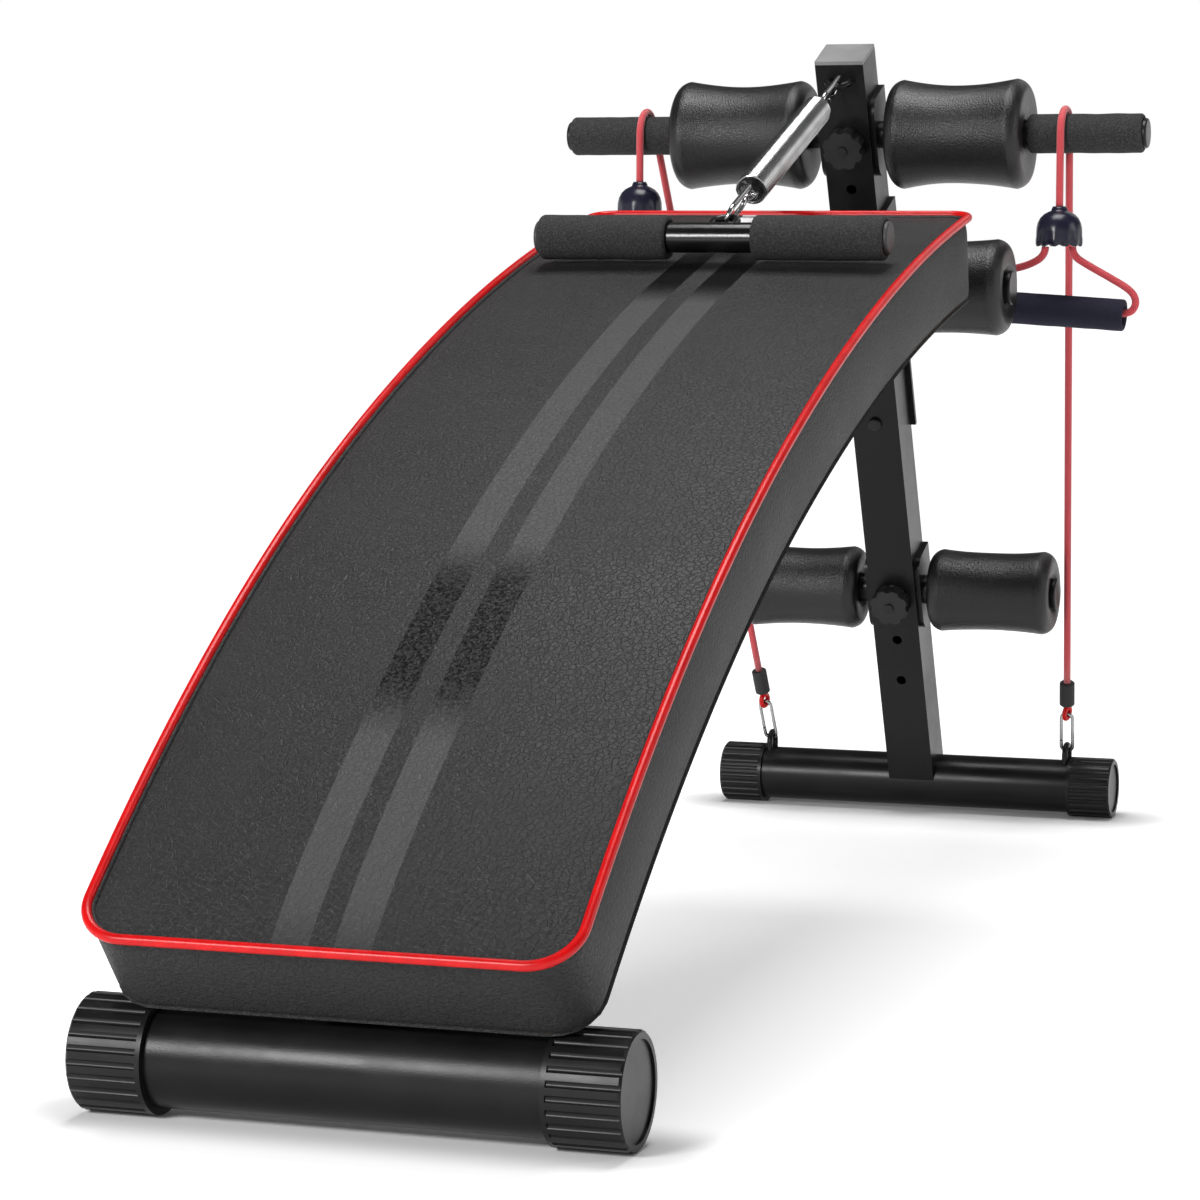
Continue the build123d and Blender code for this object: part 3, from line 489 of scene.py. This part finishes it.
def pad_outline(grow, step=0.010):
    """Rounded outline of the pad as (x, s) points, moved outwards by grow."""
    half = PAD_HALF_WIDTH + grow
    low, high = -grow, PAD_LENGTH + grow
    front, rear = PAD_FRONT_CORNER + grow, PAD_REAR_CORNER + grow
    corners = [
        (half - front, low + front, front, -90, 0),
        (half - rear, high - rear, rear, 0, 90),
        (-half + rear, high - rear, rear, 90, 180),
        (-half + front, low + front, front, 180, 270),
    ]
    arcs = []
    for x, s, radius, start, stop in corners:
        arc = []
        for k in range(13):
            angle = math.radians(start + (stop - start) * k / 12)
            arc.append(Vector((x + radius * math.cos(angle), s + radius * math.sin(angle))))
        arcs.append(arc)
    out = []
    for i, arc in enumerate(arcs):
        out += arc
        a, b = arc[-1], arcs[(i + 1) % 4][0]
        parts = max(1, int((b - a).length / step))
        out += [a.lerp(b, k / parts) for k in range(1, parts)]
    return out


# ---------------------------------------------------------------- camera, light, floor
CAMERA_PLACE = (0.8231, -2.6552, 0.5106)
CAMERA_YAW, CAMERA_PITCH, CAMERA_ROLL = 18.597, 5.442, 0.138
CAMERA_LENS = 116.62
FLOOR_HALF = 60.0
FOOT_HALF_X = 0.17
# Name, place, what it looks at, side of the square and power.
LAMPS = (
    ("overhead_softbox", (0.0, 0.2, 2.3), (0.0, 0.0, 0.3), 1.1, 42.0),
    ("front_softbox", (-0.85, -2.6, 1.25), (0.0, 0.1, 0.40), 0.7, 60.0),
    ("right_softbox", (2.0, 0.3, 1.1), (0.0, 0.2, 0.35), 0.8, 7.0),
    ("rear_softbox", (0.5, 2.4, 1.8), (0.0, 0.4, 0.4), 1.2, 4.0),
)


def painted_foot_shadows(n):
    """Painted shadow: takes the floor's own glow away in a soft band below each foot tube."""
    x, y, _ = n.axes()
    past_end = n.math("MAXIMUM", n.math("SUBTRACT", n.math("ABSOLUTE", x), FOOT_HALF_X), 0.0)
    past_squared = n.math("POWER", past_end, 2.0)
    keep = 1.0
    for foot_y in (FRONT_FOOT_Y, REAR_FOOT_Y):
        off = n.math("ABSOLUTE", n.math("SUBTRACT", y, foot_y))
        away = n.math("SQRT", n.math("ADD", n.math("POWER", off, 2.0), past_squared))
        clear = n.spread(away, 0.015, 0.075, 0.05, 1.0)
        keep = n.math("MULTIPLY", clear, keep)
    return keep


def make_camera():
    yaw, pitch, roll = (math.radians(a) for a in (CAMERA_YAW, CAMERA_PITCH, CAMERA_ROLL))
    ahead = Vector(
        (-math.sin(yaw) * math.cos(pitch), math.cos(yaw) * math.cos(pitch), -math.sin(pitch))
    )
    right = ahead.cross(Vector((0, 0, 1))).normalized()
    up = right.cross(ahead)
    right, up = (
        right * math.cos(roll) + up * math.sin(roll),
        up * math.cos(roll) - right * math.sin(roll),
    )
    data = bpy.data.cameras.new("camera")
    data.lens = CAMERA_LENS
    data.sensor_width = 36.0
    data.clip_start, data.clip_end = 0.05, 60.0
    camera = bpy.data.objects.new("camera", data)
    bpy.context.scene.collection.objects.link(camera)
    rows = [(right[i], up[i], -ahead[i], CAMERA_PLACE[i]) for i in range(3)]
    camera.matrix_world = Matrix(rows + [(0, 0, 0, 1)])
    bpy.context.scene.camera = camera


def make_floor():
    """White paper floor that glows softly, less under the bench than far from it, with a painted
    shadow below each foot tube.
    """
    half = FLOOR_HALF
    corners = [(-half, -half, 0), (half, -half, 0), (half, half, 0), (-half, half, 0)]
    floor = new_mesh("studio_floor", corners, [(0, 1, 2, 3)], smooth=False)
    n = Nodes("studio_floor")
    tone = n.noise(0.6, 2.0)
    length = n.add("ShaderNodeVectorMath", {"operation": "LENGTH"})
    n.put(length.inputs[0], n.coords)
    glow = n.spread(length.outputs["Value"], 0.8, 3.0, 0.50, 1.0)
    floor.data.materials.append(
        n.shade(
            Base_Color=n.blend(tone, grey(0.80), grey(0.83)),
            Roughness=0.8,
            Specular_IOR_Level=0.1,
            Emission_Color=grey(1.0),
            Emission_Strength=n.math("MULTIPLY", glow, painted_foot_shadows(n)),
        )
    )


def make_sky():
    """White round the horizon and dim overhead."""
    world = bpy.data.worlds.new("studio")
    world.use_nodes = True
    tree = world.node_tree
    sky = tree.nodes.new("ShaderNodeTexCoord").outputs["Generated"]
    split = tree.nodes.new("ShaderNodeSeparateXYZ")
    tree.links.new(sky, split.inputs[0])
    height = tree.nodes.new("ShaderNodeMapRange")
    height.interpolation_type = "SMOOTHSTEP"
    tree.links.new(split.outputs["Z"], height.inputs["Value"])
    height.inputs["From Min"].default_value = 0.08
    height.inputs["From Max"].default_value = 0.30
    height.inputs["To Min"].default_value = 1.0
    height.inputs["To Max"].default_value = 0.08
    background = tree.nodes["Background"]
    background.inputs["Color"].default_value = (1.0, 1.0, 1.0, 1)
    tree.links.new(height.outputs["Result"], background.inputs["Strength"])
    bpy.context.scene.world = world


def make_lamps():
    for name, place, aim, side, power in LAMPS:
        light = bpy.data.lights.new(name, "AREA")
        light.size = side
        light.energy = power
        obj = bpy.data.objects.new(name, light)
        obj.location = place
        obj.rotation_euler = (Vector(aim) - Vector(place)).to_track_quat("-Z", "Y").to_euler()
        bpy.context.scene.collection.objects.link(obj)


make_camera()
make_floor()
make_sky()
make_lamps()
bpy.context.scene.view_settings.view_transform = "Standard"


# ---------------------------------------------------------------- cords
# Routes as in the CAD model: up the back of the bench, over the top bar, down to the bell.
MAIN_ROUTES = {
    "right": (
        (0.1391, 0.6483, 0.1207),
        (0.1745, 0.4569, 0.5835),
        (0.1760, 0.4493, 0.6019),
        (0.1760, 0.4371, 0.6085),
        (0.1760, 0.4234, 0.6058),
        (0.1760, 0.4146, 0.5950),
        (0.1760, 0.4146, 0.5750),
        (0.1760, 0.4146, 0.5300),
    ),
    "left": (
        (-0.1391, 0.6483, 0.1207),
        (-0.1745, 0.4569, 0.5835),
        (-0.1760, 0.4493, 0.6019),
        (-0.1760, 0.4371, 0.6085),
        (-0.1760, 0.4234, 0.6058),
        (-0.1760, 0.4146, 0.5950),
        (-0.1760, 0.4146, 0.5750),
        (-0.1760, 0.4146, 0.5500),
    ),
}
HANDLE_ROUTES = {
    "right": (
        (0.1870, 0.4146, 0.4980),
        (0.1870, 0.4146, 0.4910),
        (0.2000, 0.4146, 0.4830),
        (0.2176, 0.4146, 0.4735),
        (0.2351, 0.4146, 0.4634),
        (0.2395, 0.4146, 0.4542),
        (0.2350, 0.4146, 0.4454),
        (0.2219, 0.4146, 0.4452),
        (0.1241, 0.4146, 0.4510),
        (0.1112, 0.4146, 0.4528),
        (0.1077, 0.4146, 0.4620),
        (0.1133, 0.4146, 0.4707),
        (0.1318, 0.4146, 0.4786),
        (0.1520, 0.4146, 0.4830),
        (0.1650, 0.4146, 0.4910),
        (0.1650, 0.4146, 0.4980),
    ),
    "left": (
        (-0.1650, 0.4146, 0.5180),
        (-0.1650, 0.4146, 0.5110),
        (-0.1520, 0.4146, 0.5030),
        (-0.1318, 0.4146, 0.4986),
        (-0.1133, 0.4146, 0.4907),
        (-0.1077, 0.4146, 0.4820),
        (-0.1112, 0.4146, 0.4728),
        (-0.1241, 0.4146, 0.4710),
        (-0.2219, 0.4146, 0.4652),
        (-0.2350, 0.4146, 0.4654),
        (-0.2395, 0.4146, 0.4742),
        (-0.2351, 0.4146, 0.4834),
        (-0.2176, 0.4146, 0.4935),
        (-0.2000, 0.4146, 0.5030),
        (-0.1870, 0.4146, 0.5110),
        (-0.1870, 0.4146, 0.5180),
    ),
}


def make_cords():
    for side in SIDES:
        handle = "cord_handle_" + side
        route = MAIN_ROUTES[side]
        points = spline_points("main_route_" + side, route)
        cord = tube("elastic_cord_" + side, points, CORD_R, uv=True)
        stand_in(cord, "cord_" + side)
        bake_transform(cord)

        route = HANDLE_ROUTES[side]
        points = spline_points("handle_route_" + side, route)
        loop = tube("handle_loop_" + side, points, CORD_R, uv=True)
        stand_in(loop, "handle_cord_" + side)
        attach(loop, handle)


make_cords()


# ---------------------------------------------------------------- cushion and welt
# Depths are below the pad's highest surface. A negative growth lies inside its outline.
CUSHION_START = 0.0048
CUSHION_BOTTOM = 0.0668
CUSHION_SHRINK = 0.0012
CUSHION_STEP = 0.012
SIDE_RINGS = 5
SWELL_CAP = 0.0050
SWELL_FRAMES = 20
TOP_LIMIT = 0.0004
VOXEL = 0.005
WELT_DEPTH, WELT_GROWTH = 0.0032, -0.0007
SEAM_DEPTH, SEAM_GROWTH, SEAM_R = 0.0055, -0.0034, 0.0023
WELT_STEP = 0.006
# Growth and depth of each line of the hem, from the pad's side to the fold underneath.
HEM = (
    (-0.0010, 0.0655),
    (-0.0022, 0.0670),
    (-0.0050, 0.0674),
    (-0.0160, 0.0673),
    (-0.0168, 0.0668),
    (-0.0168, 0.0661),
)


def flat_block(name, grow, top, bottom):
    """The pad before it is bent: (x, arc length, -depth), with a grid of side rings."""
    outline = pad_outline(grow, CUSHION_STEP)
    levels = [top + (bottom - top) * k / SIDE_RINGS for k in range(SIDE_RINGS + 1)]
    vertices = [(x, s, -depth) for depth in levels for x, s in outline]
    count = len(outline)
    faces = []
    for level in range(len(levels) - 1):
        a, b = level * count, (level + 1) * count
        for k in range(count):
            m = (k + 1) % count
            faces.append((a + k, b + k, b + m, a + m))
    faces.append(tuple(range(count)))
    faces.append(tuple(range((len(levels) - 1) * count, len(levels) * count))[::-1])
    return new_mesh(name, vertices, faces)


def edge_distance(x, s):
    """Distance inside the pad's outline, as seen from above."""
    half, high = PAD_HALF_WIDTH, PAD_LENGTH
    radius = np.where(s < high / 2, PAD_FRONT_CORNER, PAD_REAR_CORNER)
    dx = np.abs(x) - (half - radius)
    ds = np.maximum(radius - s, s - (high - radius))
    corner = (dx > 0) & (ds > 0)
    round_in = radius - np.hypot(np.maximum(dx, 0), np.maximum(ds, 0))
    straight_in = np.minimum(half - np.abs(x), np.minimum(s, high - s))
    return np.where(corner, round_in, straight_in)


def vertex_array(obj, field="co"):
    """Every vertex's place, or its normal, as rows of an array."""
    out = np.empty(len(obj.data.vertices) * 3)
    obj.data.vertices.foreach_get(field, out)
    return out.reshape(-1, 3)


def set_vertices(obj, co):
    obj.data.vertices.foreach_set("co", np.asarray(co, float).ravel())
    obj.data.update()


def apply_modifiers(obj):
    """Makes what the modifiers show the object's own mesh."""
    graph = bpy.context.evaluated_depsgraph_get()
    mesh = bpy.data.meshes.new_from_object(obj.evaluated_get(graph))
    obj.modifiers.clear()
    obj.data = mesh
    mesh.polygons.foreach_set("use_smooth", [True] * len(mesh.polygons))


def swell(obj):
    """Air pressure puffs the cover between its seams; the seam and the board hold it."""
    rest = vertex_array(obj)
    inside = edge_distance(rest[:, 0], rest[:, 1]) - CUSHION_SHRINK
    near_top = -rest[:, 2] - CUSHION_START
    held = (inside < 0.004) & (near_top < 0.004)
    held |= -rest[:, 2] > CUSHION_BOTTOM - 0.013
    group = obj.vertex_groups.new(name="held")
    group.add([int(i) for i in np.nonzero(held)[0]], 1.0, "REPLACE")
    cloth = obj.modifiers.new("cloth", "CLOTH")
    cloth.settings.quality = 5
    cloth.settings.mass = 0.4
    cloth.settings.tension_stiffness = 18
    cloth.settings.compression_stiffness = 18
    cloth.settings.bending_stiffness = 1.5
    cloth.settings.use_pressure = True
    cloth.settings.uniform_pressure_force = 4.0
    cloth.settings.vertex_group_mass = "held"
    cloth.settings.effector_weights.gravity = 0.0
    cloth.collision_settings.use_self_collision = False
    scene = bpy.context.scene
    scene.frame_start, scene.frame_end = 1, SWELL_FRAMES
    for step in range(1, SWELL_FRAMES + 1):
        scene.frame_set(step)
    graph = bpy.context.evaluated_depsgraph_get()
    swollen = vertex_array(obj.evaluated_get(graph))
    obj.modifiers.clear()
    scene.frame_set(1)
    shift = swollen - rest
    length = np.linalg.norm(shift, axis=1, keepdims=True)
    limited = SWELL_CAP * np.tanh(length / SWELL_CAP) / np.maximum(length, 1e-9)
    return rest + shift * limited


def bend_pad(co):
    """Flat pad coordinates to the real curved pad."""
    out = np.empty_like(co)
    for i, (x, s, height) in enumerate(co):
        out[i] = pad_point(x, s, -height)
    return out


def wrap_under():
    """The cover's edge, folded under the board in one flat band."""
    count = len(pad_outline(HEM[0][0]))
    rows = []
    for grow, depth in HEM:
        rows.append(resample([pad_point(x, s, depth) for x, s in pad_outline(grow)], count))
    vertices = [v for row in rows for v in row]
    faces = []
    for i in range(len(rows)):
        a, b = i * count, (i + 1) % len(rows) * count
        for k in range(count):
            m = (k + 1) % count
            faces.append((a + k, a + m, b + m, b + k))
    return new_mesh("pad_cover_hem", vertices, faces)


def resample(line, count):
    """The same closed line in count evenly spaced points."""
    line = line + [line[0]]
    lengths = [0.0]
    for a, b in zip(line, line[1:]):
        lengths.append(lengths[-1] + (b - a).length)
    out, i = [], 0
    for k in range(count):
        want = lengths[-1] * k / count
        while lengths[i + 1] < want:
            i += 1
        share = (want - lengths[i]) / max(lengths[i + 1] - lengths[i], 1e-9)
        out.append(line[i].lerp(line[i + 1], share))
    return out


def make_cushion():
    cushion = flat_block("pad_cover", -CUSHION_SHRINK, CUSHION_START, CUSHION_BOTTOM)
    remesh = cushion.modifiers.new("remesh", "REMESH")
    remesh.mode = "VOXEL"
    remesh.voxel_size = VOXEL
    apply_modifiers(cushion)
    smooth = cushion.modifiers.new("smooth", "SMOOTH")
    smooth.factor, smooth.iterations = 0.5, 1
    apply_modifiers(cushion)
    flat = swell(cushion)
    flat[:, 2] = np.minimum(flat[:, 2], -TOP_LIMIT)
    set_vertices(cushion, bend_pad(flat))
    subdivide = cushion.modifiers.new("subdivide", "SUBSURF")
    subdivide.levels = subdivide.render_levels = 1
    apply_modifiers(cushion)
    stand_in(cushion, "pad_cushion")
    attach(cushion, "bench_frame")


def trim(obj):
    """An extra piece of the cover, in its leather, fixed to the frame."""
    obj.data.materials.append(MATERIALS["black_leather"])
    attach(obj, "bench_frame")


def make_welt():
    """The red welt round the pad's edge, the hem, and the leather seam behind the welt."""
    outline = pad_outline(WELT_GROWTH, WELT_STEP)
    line = [pad_point(x, s, WELT_DEPTH) for x, s in outline]
    piping = tube("pad_welt", line, PIPING_R, sides=18, closed=True)
    stand_in(piping, "pad_piping")
    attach(piping, "bench_frame")
    trim(wrap_under())
    line = [pad_point(x, s, SEAM_DEPTH) for x, s in pad_outline(SEAM_GROWTH, WELT_STEP)]
    trim(tube("pad_seam", line, SEAM_R, sides=12, closed=True))


make_cushion()
make_welt()


# ---------------------------------------------------------------- foam rollers and grips
# Bore and waist radius of each pair of rollers.
ROLLERS = {"top": (0.01105, 0.0394), "knee": (0.01255, 0.0360), "lower": (0.01255, 0.0330)}
ROLLER_ROUND_R = 0.009
ROLLER_SLICES = 24
RIM_SLICES = 10
SLEEVE_SLICES = 28
SLEEVE_INSET = 0.0003
# CAD node, piece name, body, length, radius, bore and wobble seed of each pair of bar grips.
BAR_GRIPS = (
    ("handle_grips", "pull_grip_", "pull_handle", 0.098, 0.0165, 0.011, 11.0),
    ("top_grips", "bar_grip_", "bench_frame", 0.093, 0.016, 0.011, 21.0),
)
CORD_GRIP_TILT = 3.4


def wobble(obj, size, scale, seed):
    """Moves the surface in and out by a little smooth noise."""
    co = vertex_array(obj)
    normals = vertex_array(obj, "normal")
    for i, p in enumerate(co):
        co[i] += normals[i] * size * noise.noise(Vector(p) * scale + Vector((seed, seed, seed)))
    set_vertices(obj, co)


def centre_of(node):
    """Centre and size of a CAD node's box."""
    low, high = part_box(node)
    return (low + high) / 2, high - low


def roller_profile(half, end_r, waist_r, bore):
    """Gentle hourglass with rounded rims and a shallow dish round the bar at each end."""
    round_r = ROLLER_ROUND_R
    reach = half - round_r
    outer = []
    for k in range(ROLLER_SLICES + 1):
        t = -1 + 2 * k / ROLLER_SLICES
        outer.append((t * reach, waist_r + (end_r - waist_r) * t * t))
    rim = []
    for k in range(1, RIM_SLICES + 1):
        angle = math.pi / 2 * k / RIM_SLICES
        bulge = 0.0012 * math.cos(angle) ** 2
        x = reach + round_r * math.sin(angle) - bulge
        rim.append((x, end_r - round_r + round_r * math.cos(angle)))
    face_r = end_r - round_r
    dish = [
        (half - 0.0001, face_r * 0.85),
        (half - 0.0007, face_r * 0.65),
        (half - 0.0016, bore + 0.0040),
        (half - 0.0024, bore + 0.0014),
        (half - 0.0048, bore),
    ]
    edge = rim + dish
    inner = [(half * t, bore) for t in (0.6, 0.2, -0.2, -0.6)]
    mirrored = [(-x, r) for x, r in reversed(edge)]
    return outer + edge + inner + mirrored


def make_rollers():
    seed = 3.0
    for name, (bore, waist_r) in ROLLERS.items():
        for side in SIDES:
            node = name + "_roller_" + side
            centre, size = centre_of(node)
            end_r = size.z / 2 - 0.0002
            profile = roller_profile(size.x / 2, end_r, waist_r, bore)
            roller = lathe(name + "_foam_" + side, profile, 96)
            seed += 5.3
            wobble(roller, 0.0005, 26.0, seed)
            roller.data.transform(Matrix.Translation(centre))
            stand_in(roller, node)
            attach(roller, node)


def grip_sleeve(name, length, radius, bore, round_r=0.003):
    """Foam sleeve along X round the origin, with soft, rounded ends."""
    half, skin_r = length / 2, radius - SLEEVE_INSET
    outer = []
    for k in range(SLEEVE_SLICES + 1):
        t = -1 + 2 * k / SLEEVE_SLICES
        outer.append((t * (half - round_r), skin_r))
    edge = []
    for k in range(1, 6):
        angle = math.pi / 2 * k / 5
        x = half - round_r + round_r * math.sin(angle)
        edge.append((x, skin_r - round_r + round_r * math.cos(angle)))
    edge += [(half - 0.0002, bore + 0.0016), (half - 0.0010, bore + 0.0004), (half - 0.002, bore)]
    mirrored = [(-x, r) for x, r in reversed(edge)]
    return lathe(name, outer + edge + [(0.0, bore)] + mirrored, 72)


def place_grip(grip, node, body):
    stand_in(grip, node)
    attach(grip, body)


def make_grips():
    for node, name, body, length, radius, bore, seed in BAR_GRIPS:
        low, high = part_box(node)
        centre, _ = centre_of(node)
        for side, sign in SIDES.items():
            grip = grip_sleeve(name + side, length, radius, bore)
            wobble(grip, 0.0004, 60.0, seed + sign)
            x = high.x - length / 2 if sign > 0 else low.x + length / 2
            grip.data.transform(Matrix.Translation((x, centre.y, centre.z)))
            place_grip(grip, node, body)
    for side, sign in SIDES.items():
        node = "cord_grip_" + side
        centre, _ = centre_of(node)
        grip = grip_sleeve("foam_grip_" + side, 0.114, 0.013, 0.008, round_r=0.0022)
        wobble(grip, 0.0003, 70.0, 31.0 + sign)
        turn = Matrix.Rotation(math.radians(CORD_GRIP_TILT * sign), 4, "Y")
        grip.data.transform(Matrix.Translation(centre) @ turn)
        place_grip(grip, node, "cord_handle_" + side)


make_rollers()
make_grips()


# ---------------------------------------------------------------- cord bells
# Radius and height of the bell's section: down the outside, then up the inside.
BELL_OUTER = (
    (0.0052, 0.0320),
    (0.0062, 0.0300),
    (0.0066, 0.0285),
    (0.0088, 0.0276),
    (0.0122, 0.0258),
    (0.0152, 0.0228),
    (0.0172, 0.0190),
    (0.0182, 0.0150),
    (0.0185, 0.0118),
    (0.0186, 0.0085),
    (0.0190, 0.0055),
    (0.0190, 0.0028),
    (0.0186, 0.0006),
    (0.0176, 0.0000),
)
BELL_INNER = (
    (0.0160, 0.0006),
    (0.0150, 0.0040),
    (0.0140, 0.0100),
    (0.0110, 0.0170),
    (0.0060, 0.0210),
    (0.0032, 0.0225),
    (0.0032, 0.0318),
)
BELL_SEGMENTS = 120
BELL_LOBES = 12
KNOT_R = 0.0027
KNOT_POINTS = 60


def bell_mesh(name):
    """Hollow bell with a stepped neck; its mouth is scalloped round and up."""
    profile = BELL_OUTER + BELL_INNER
    segments, count = BELL_SEGMENTS, len(profile)
    vertices, faces = [], []
    for radius, z in profile:
        for k in range(segments):
            angle = 2 * math.pi * k / segments
            wave = 1 - math.cos(BELL_LOBES * angle)
            r = radius - max(0.0, 1 - z / 0.016) * 0.0011 * wave / 2
            lift = max(0.0, 1 - z / 0.006) * 0.0016 * wave / 2
            vertices.append((r * math.cos(angle), r * math.sin(angle), z + lift))
    for i in range(count):
        a, b = i * segments, (i + 1) % count * segments
        for k in range(segments):
            m = (k + 1) % segments
            faces.append((a + k, a + m, b + m, b + k))
    return new_mesh(name, vertices, faces)


def knot_line(centre):
    """A trefoil: the knotted end of the cord inside its bell."""
    line = []
    for k in range(KNOT_POINTS):
        t = 2 * math.pi * k / KNOT_POINTS
        x = 0.0052 * math.sin(t) + 0.0030 * math.sin(2 * t)
        y = 0.0052 * math.cos(t) - 0.0030 * math.cos(2 * t)
        line.append(centre + Vector((x, y, 0.0072 - 0.0030 * math.sin(3 * t))))
    return line


def make_bells():
    for side in SIDES:
        node, body = "cord_dome_" + side, "cord_handle_" + side
        low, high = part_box(node)
        centre = Vector(((low.x + high.x) / 2, (low.y + high.y) / 2, low.z))
        bell = bell_mesh("cord_bell_" + side)
        bell.data.transform(Matrix.Translation(centre))
        stand_in(bell, node)
        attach(bell, body)
        knot = tube("cord_knot_" + side, knot_line(centre), KNOT_R, sides=12, closed=True)
        knot.data.materials.append(MATERIALS["red_ring"])
        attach(knot, body)


make_bells()


# ---------------------------------------------------------------- the coil spring
EYE_CROWN = Vector((0.0, 0.381044, 0.625155))
HANDLE_CENTRE = Vector((0.0, 0.042602, 0.505100))
COIL_STATION = 0.06105
COIL_R = 0.012
COIL_WIRE_R = 0.0014
COIL_LENGTH = 0.194
COIL_LOOP_R = 0.006
COIL_TURNS = 66
TURN_STEPS = 28
LOOP_POINTS = 34
CROSS_STEPS = 15
# Points at the wound end of each loop that the crossing turn takes the place of.
LOOP_TRIM = 6


def end_loop():
    """The hook-shaped loop at the coil's upper end, in its own X and Z."""
    points = []
    for k in range(LOOP_POINTS):
        angle = math.radians(-60 + 330 * k / (LOOP_POINTS - 1))
        z = -COIL_LOOP_R + COIL_LOOP_R * math.cos(angle)
        points.append((COIL_LOOP_R * math.sin(angle), 0.0, z))
    return points


def coil_line():
    """Centre line of the wire: loop, half turn outwards, close winding, and back."""
    mean_r = COIL_R - COIL_WIRE_R
    lead = COIL_WIRE_R * 1.2
    body = COIL_LENGTH - 2 * lead
    loop = end_loop()
    line = loop[::-1][:-LOOP_TRIM]
    for k in range(1, CROSS_STEPS):
        t = k / CROSS_STEPS
        radius, angle = mean_r * (0.35 + 0.65 * t), math.pi * (t - 1)
        line.append((radius * math.cos(angle), radius * math.sin(angle), lead * t))
    wound = COIL_TURNS * TURN_STEPS + TURN_STEPS // 2
    for k in range(wound + 1):
        angle = 2 * math.pi * k / TURN_STEPS
        line.append((mean_r * math.cos(angle), mean_r * math.sin(angle), lead + body * k / wound))
    for k in range(1, CROSS_STEPS):
        t = k / CROSS_STEPS
        radius, angle = mean_r * (1 - 0.65 * t), math.pi * (1 + t)
        line.append((radius * math.cos(angle), radius * math.sin(angle), lead + body + lead * t))
    return line + [(x, 0.0, COIL_LENGTH - z) for x, _, z in loop[LOOP_TRIM:]]


def make_coil():
    along = (HANDLE_CENTRE - EYE_CROWN).normalized()
    across = Vector((1, 0, 0))
    up = along.cross(across)
    start = EYE_CROWN + along * COIL_STATION
    points = [start + across * x + up * y + along * z for x, y, z in coil_line()]
    coil = tube("spring_coil", points, COIL_WIRE_R, sides=10)
    stand_in(coil, "tension_spring")
    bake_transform(coil)


make_coil()
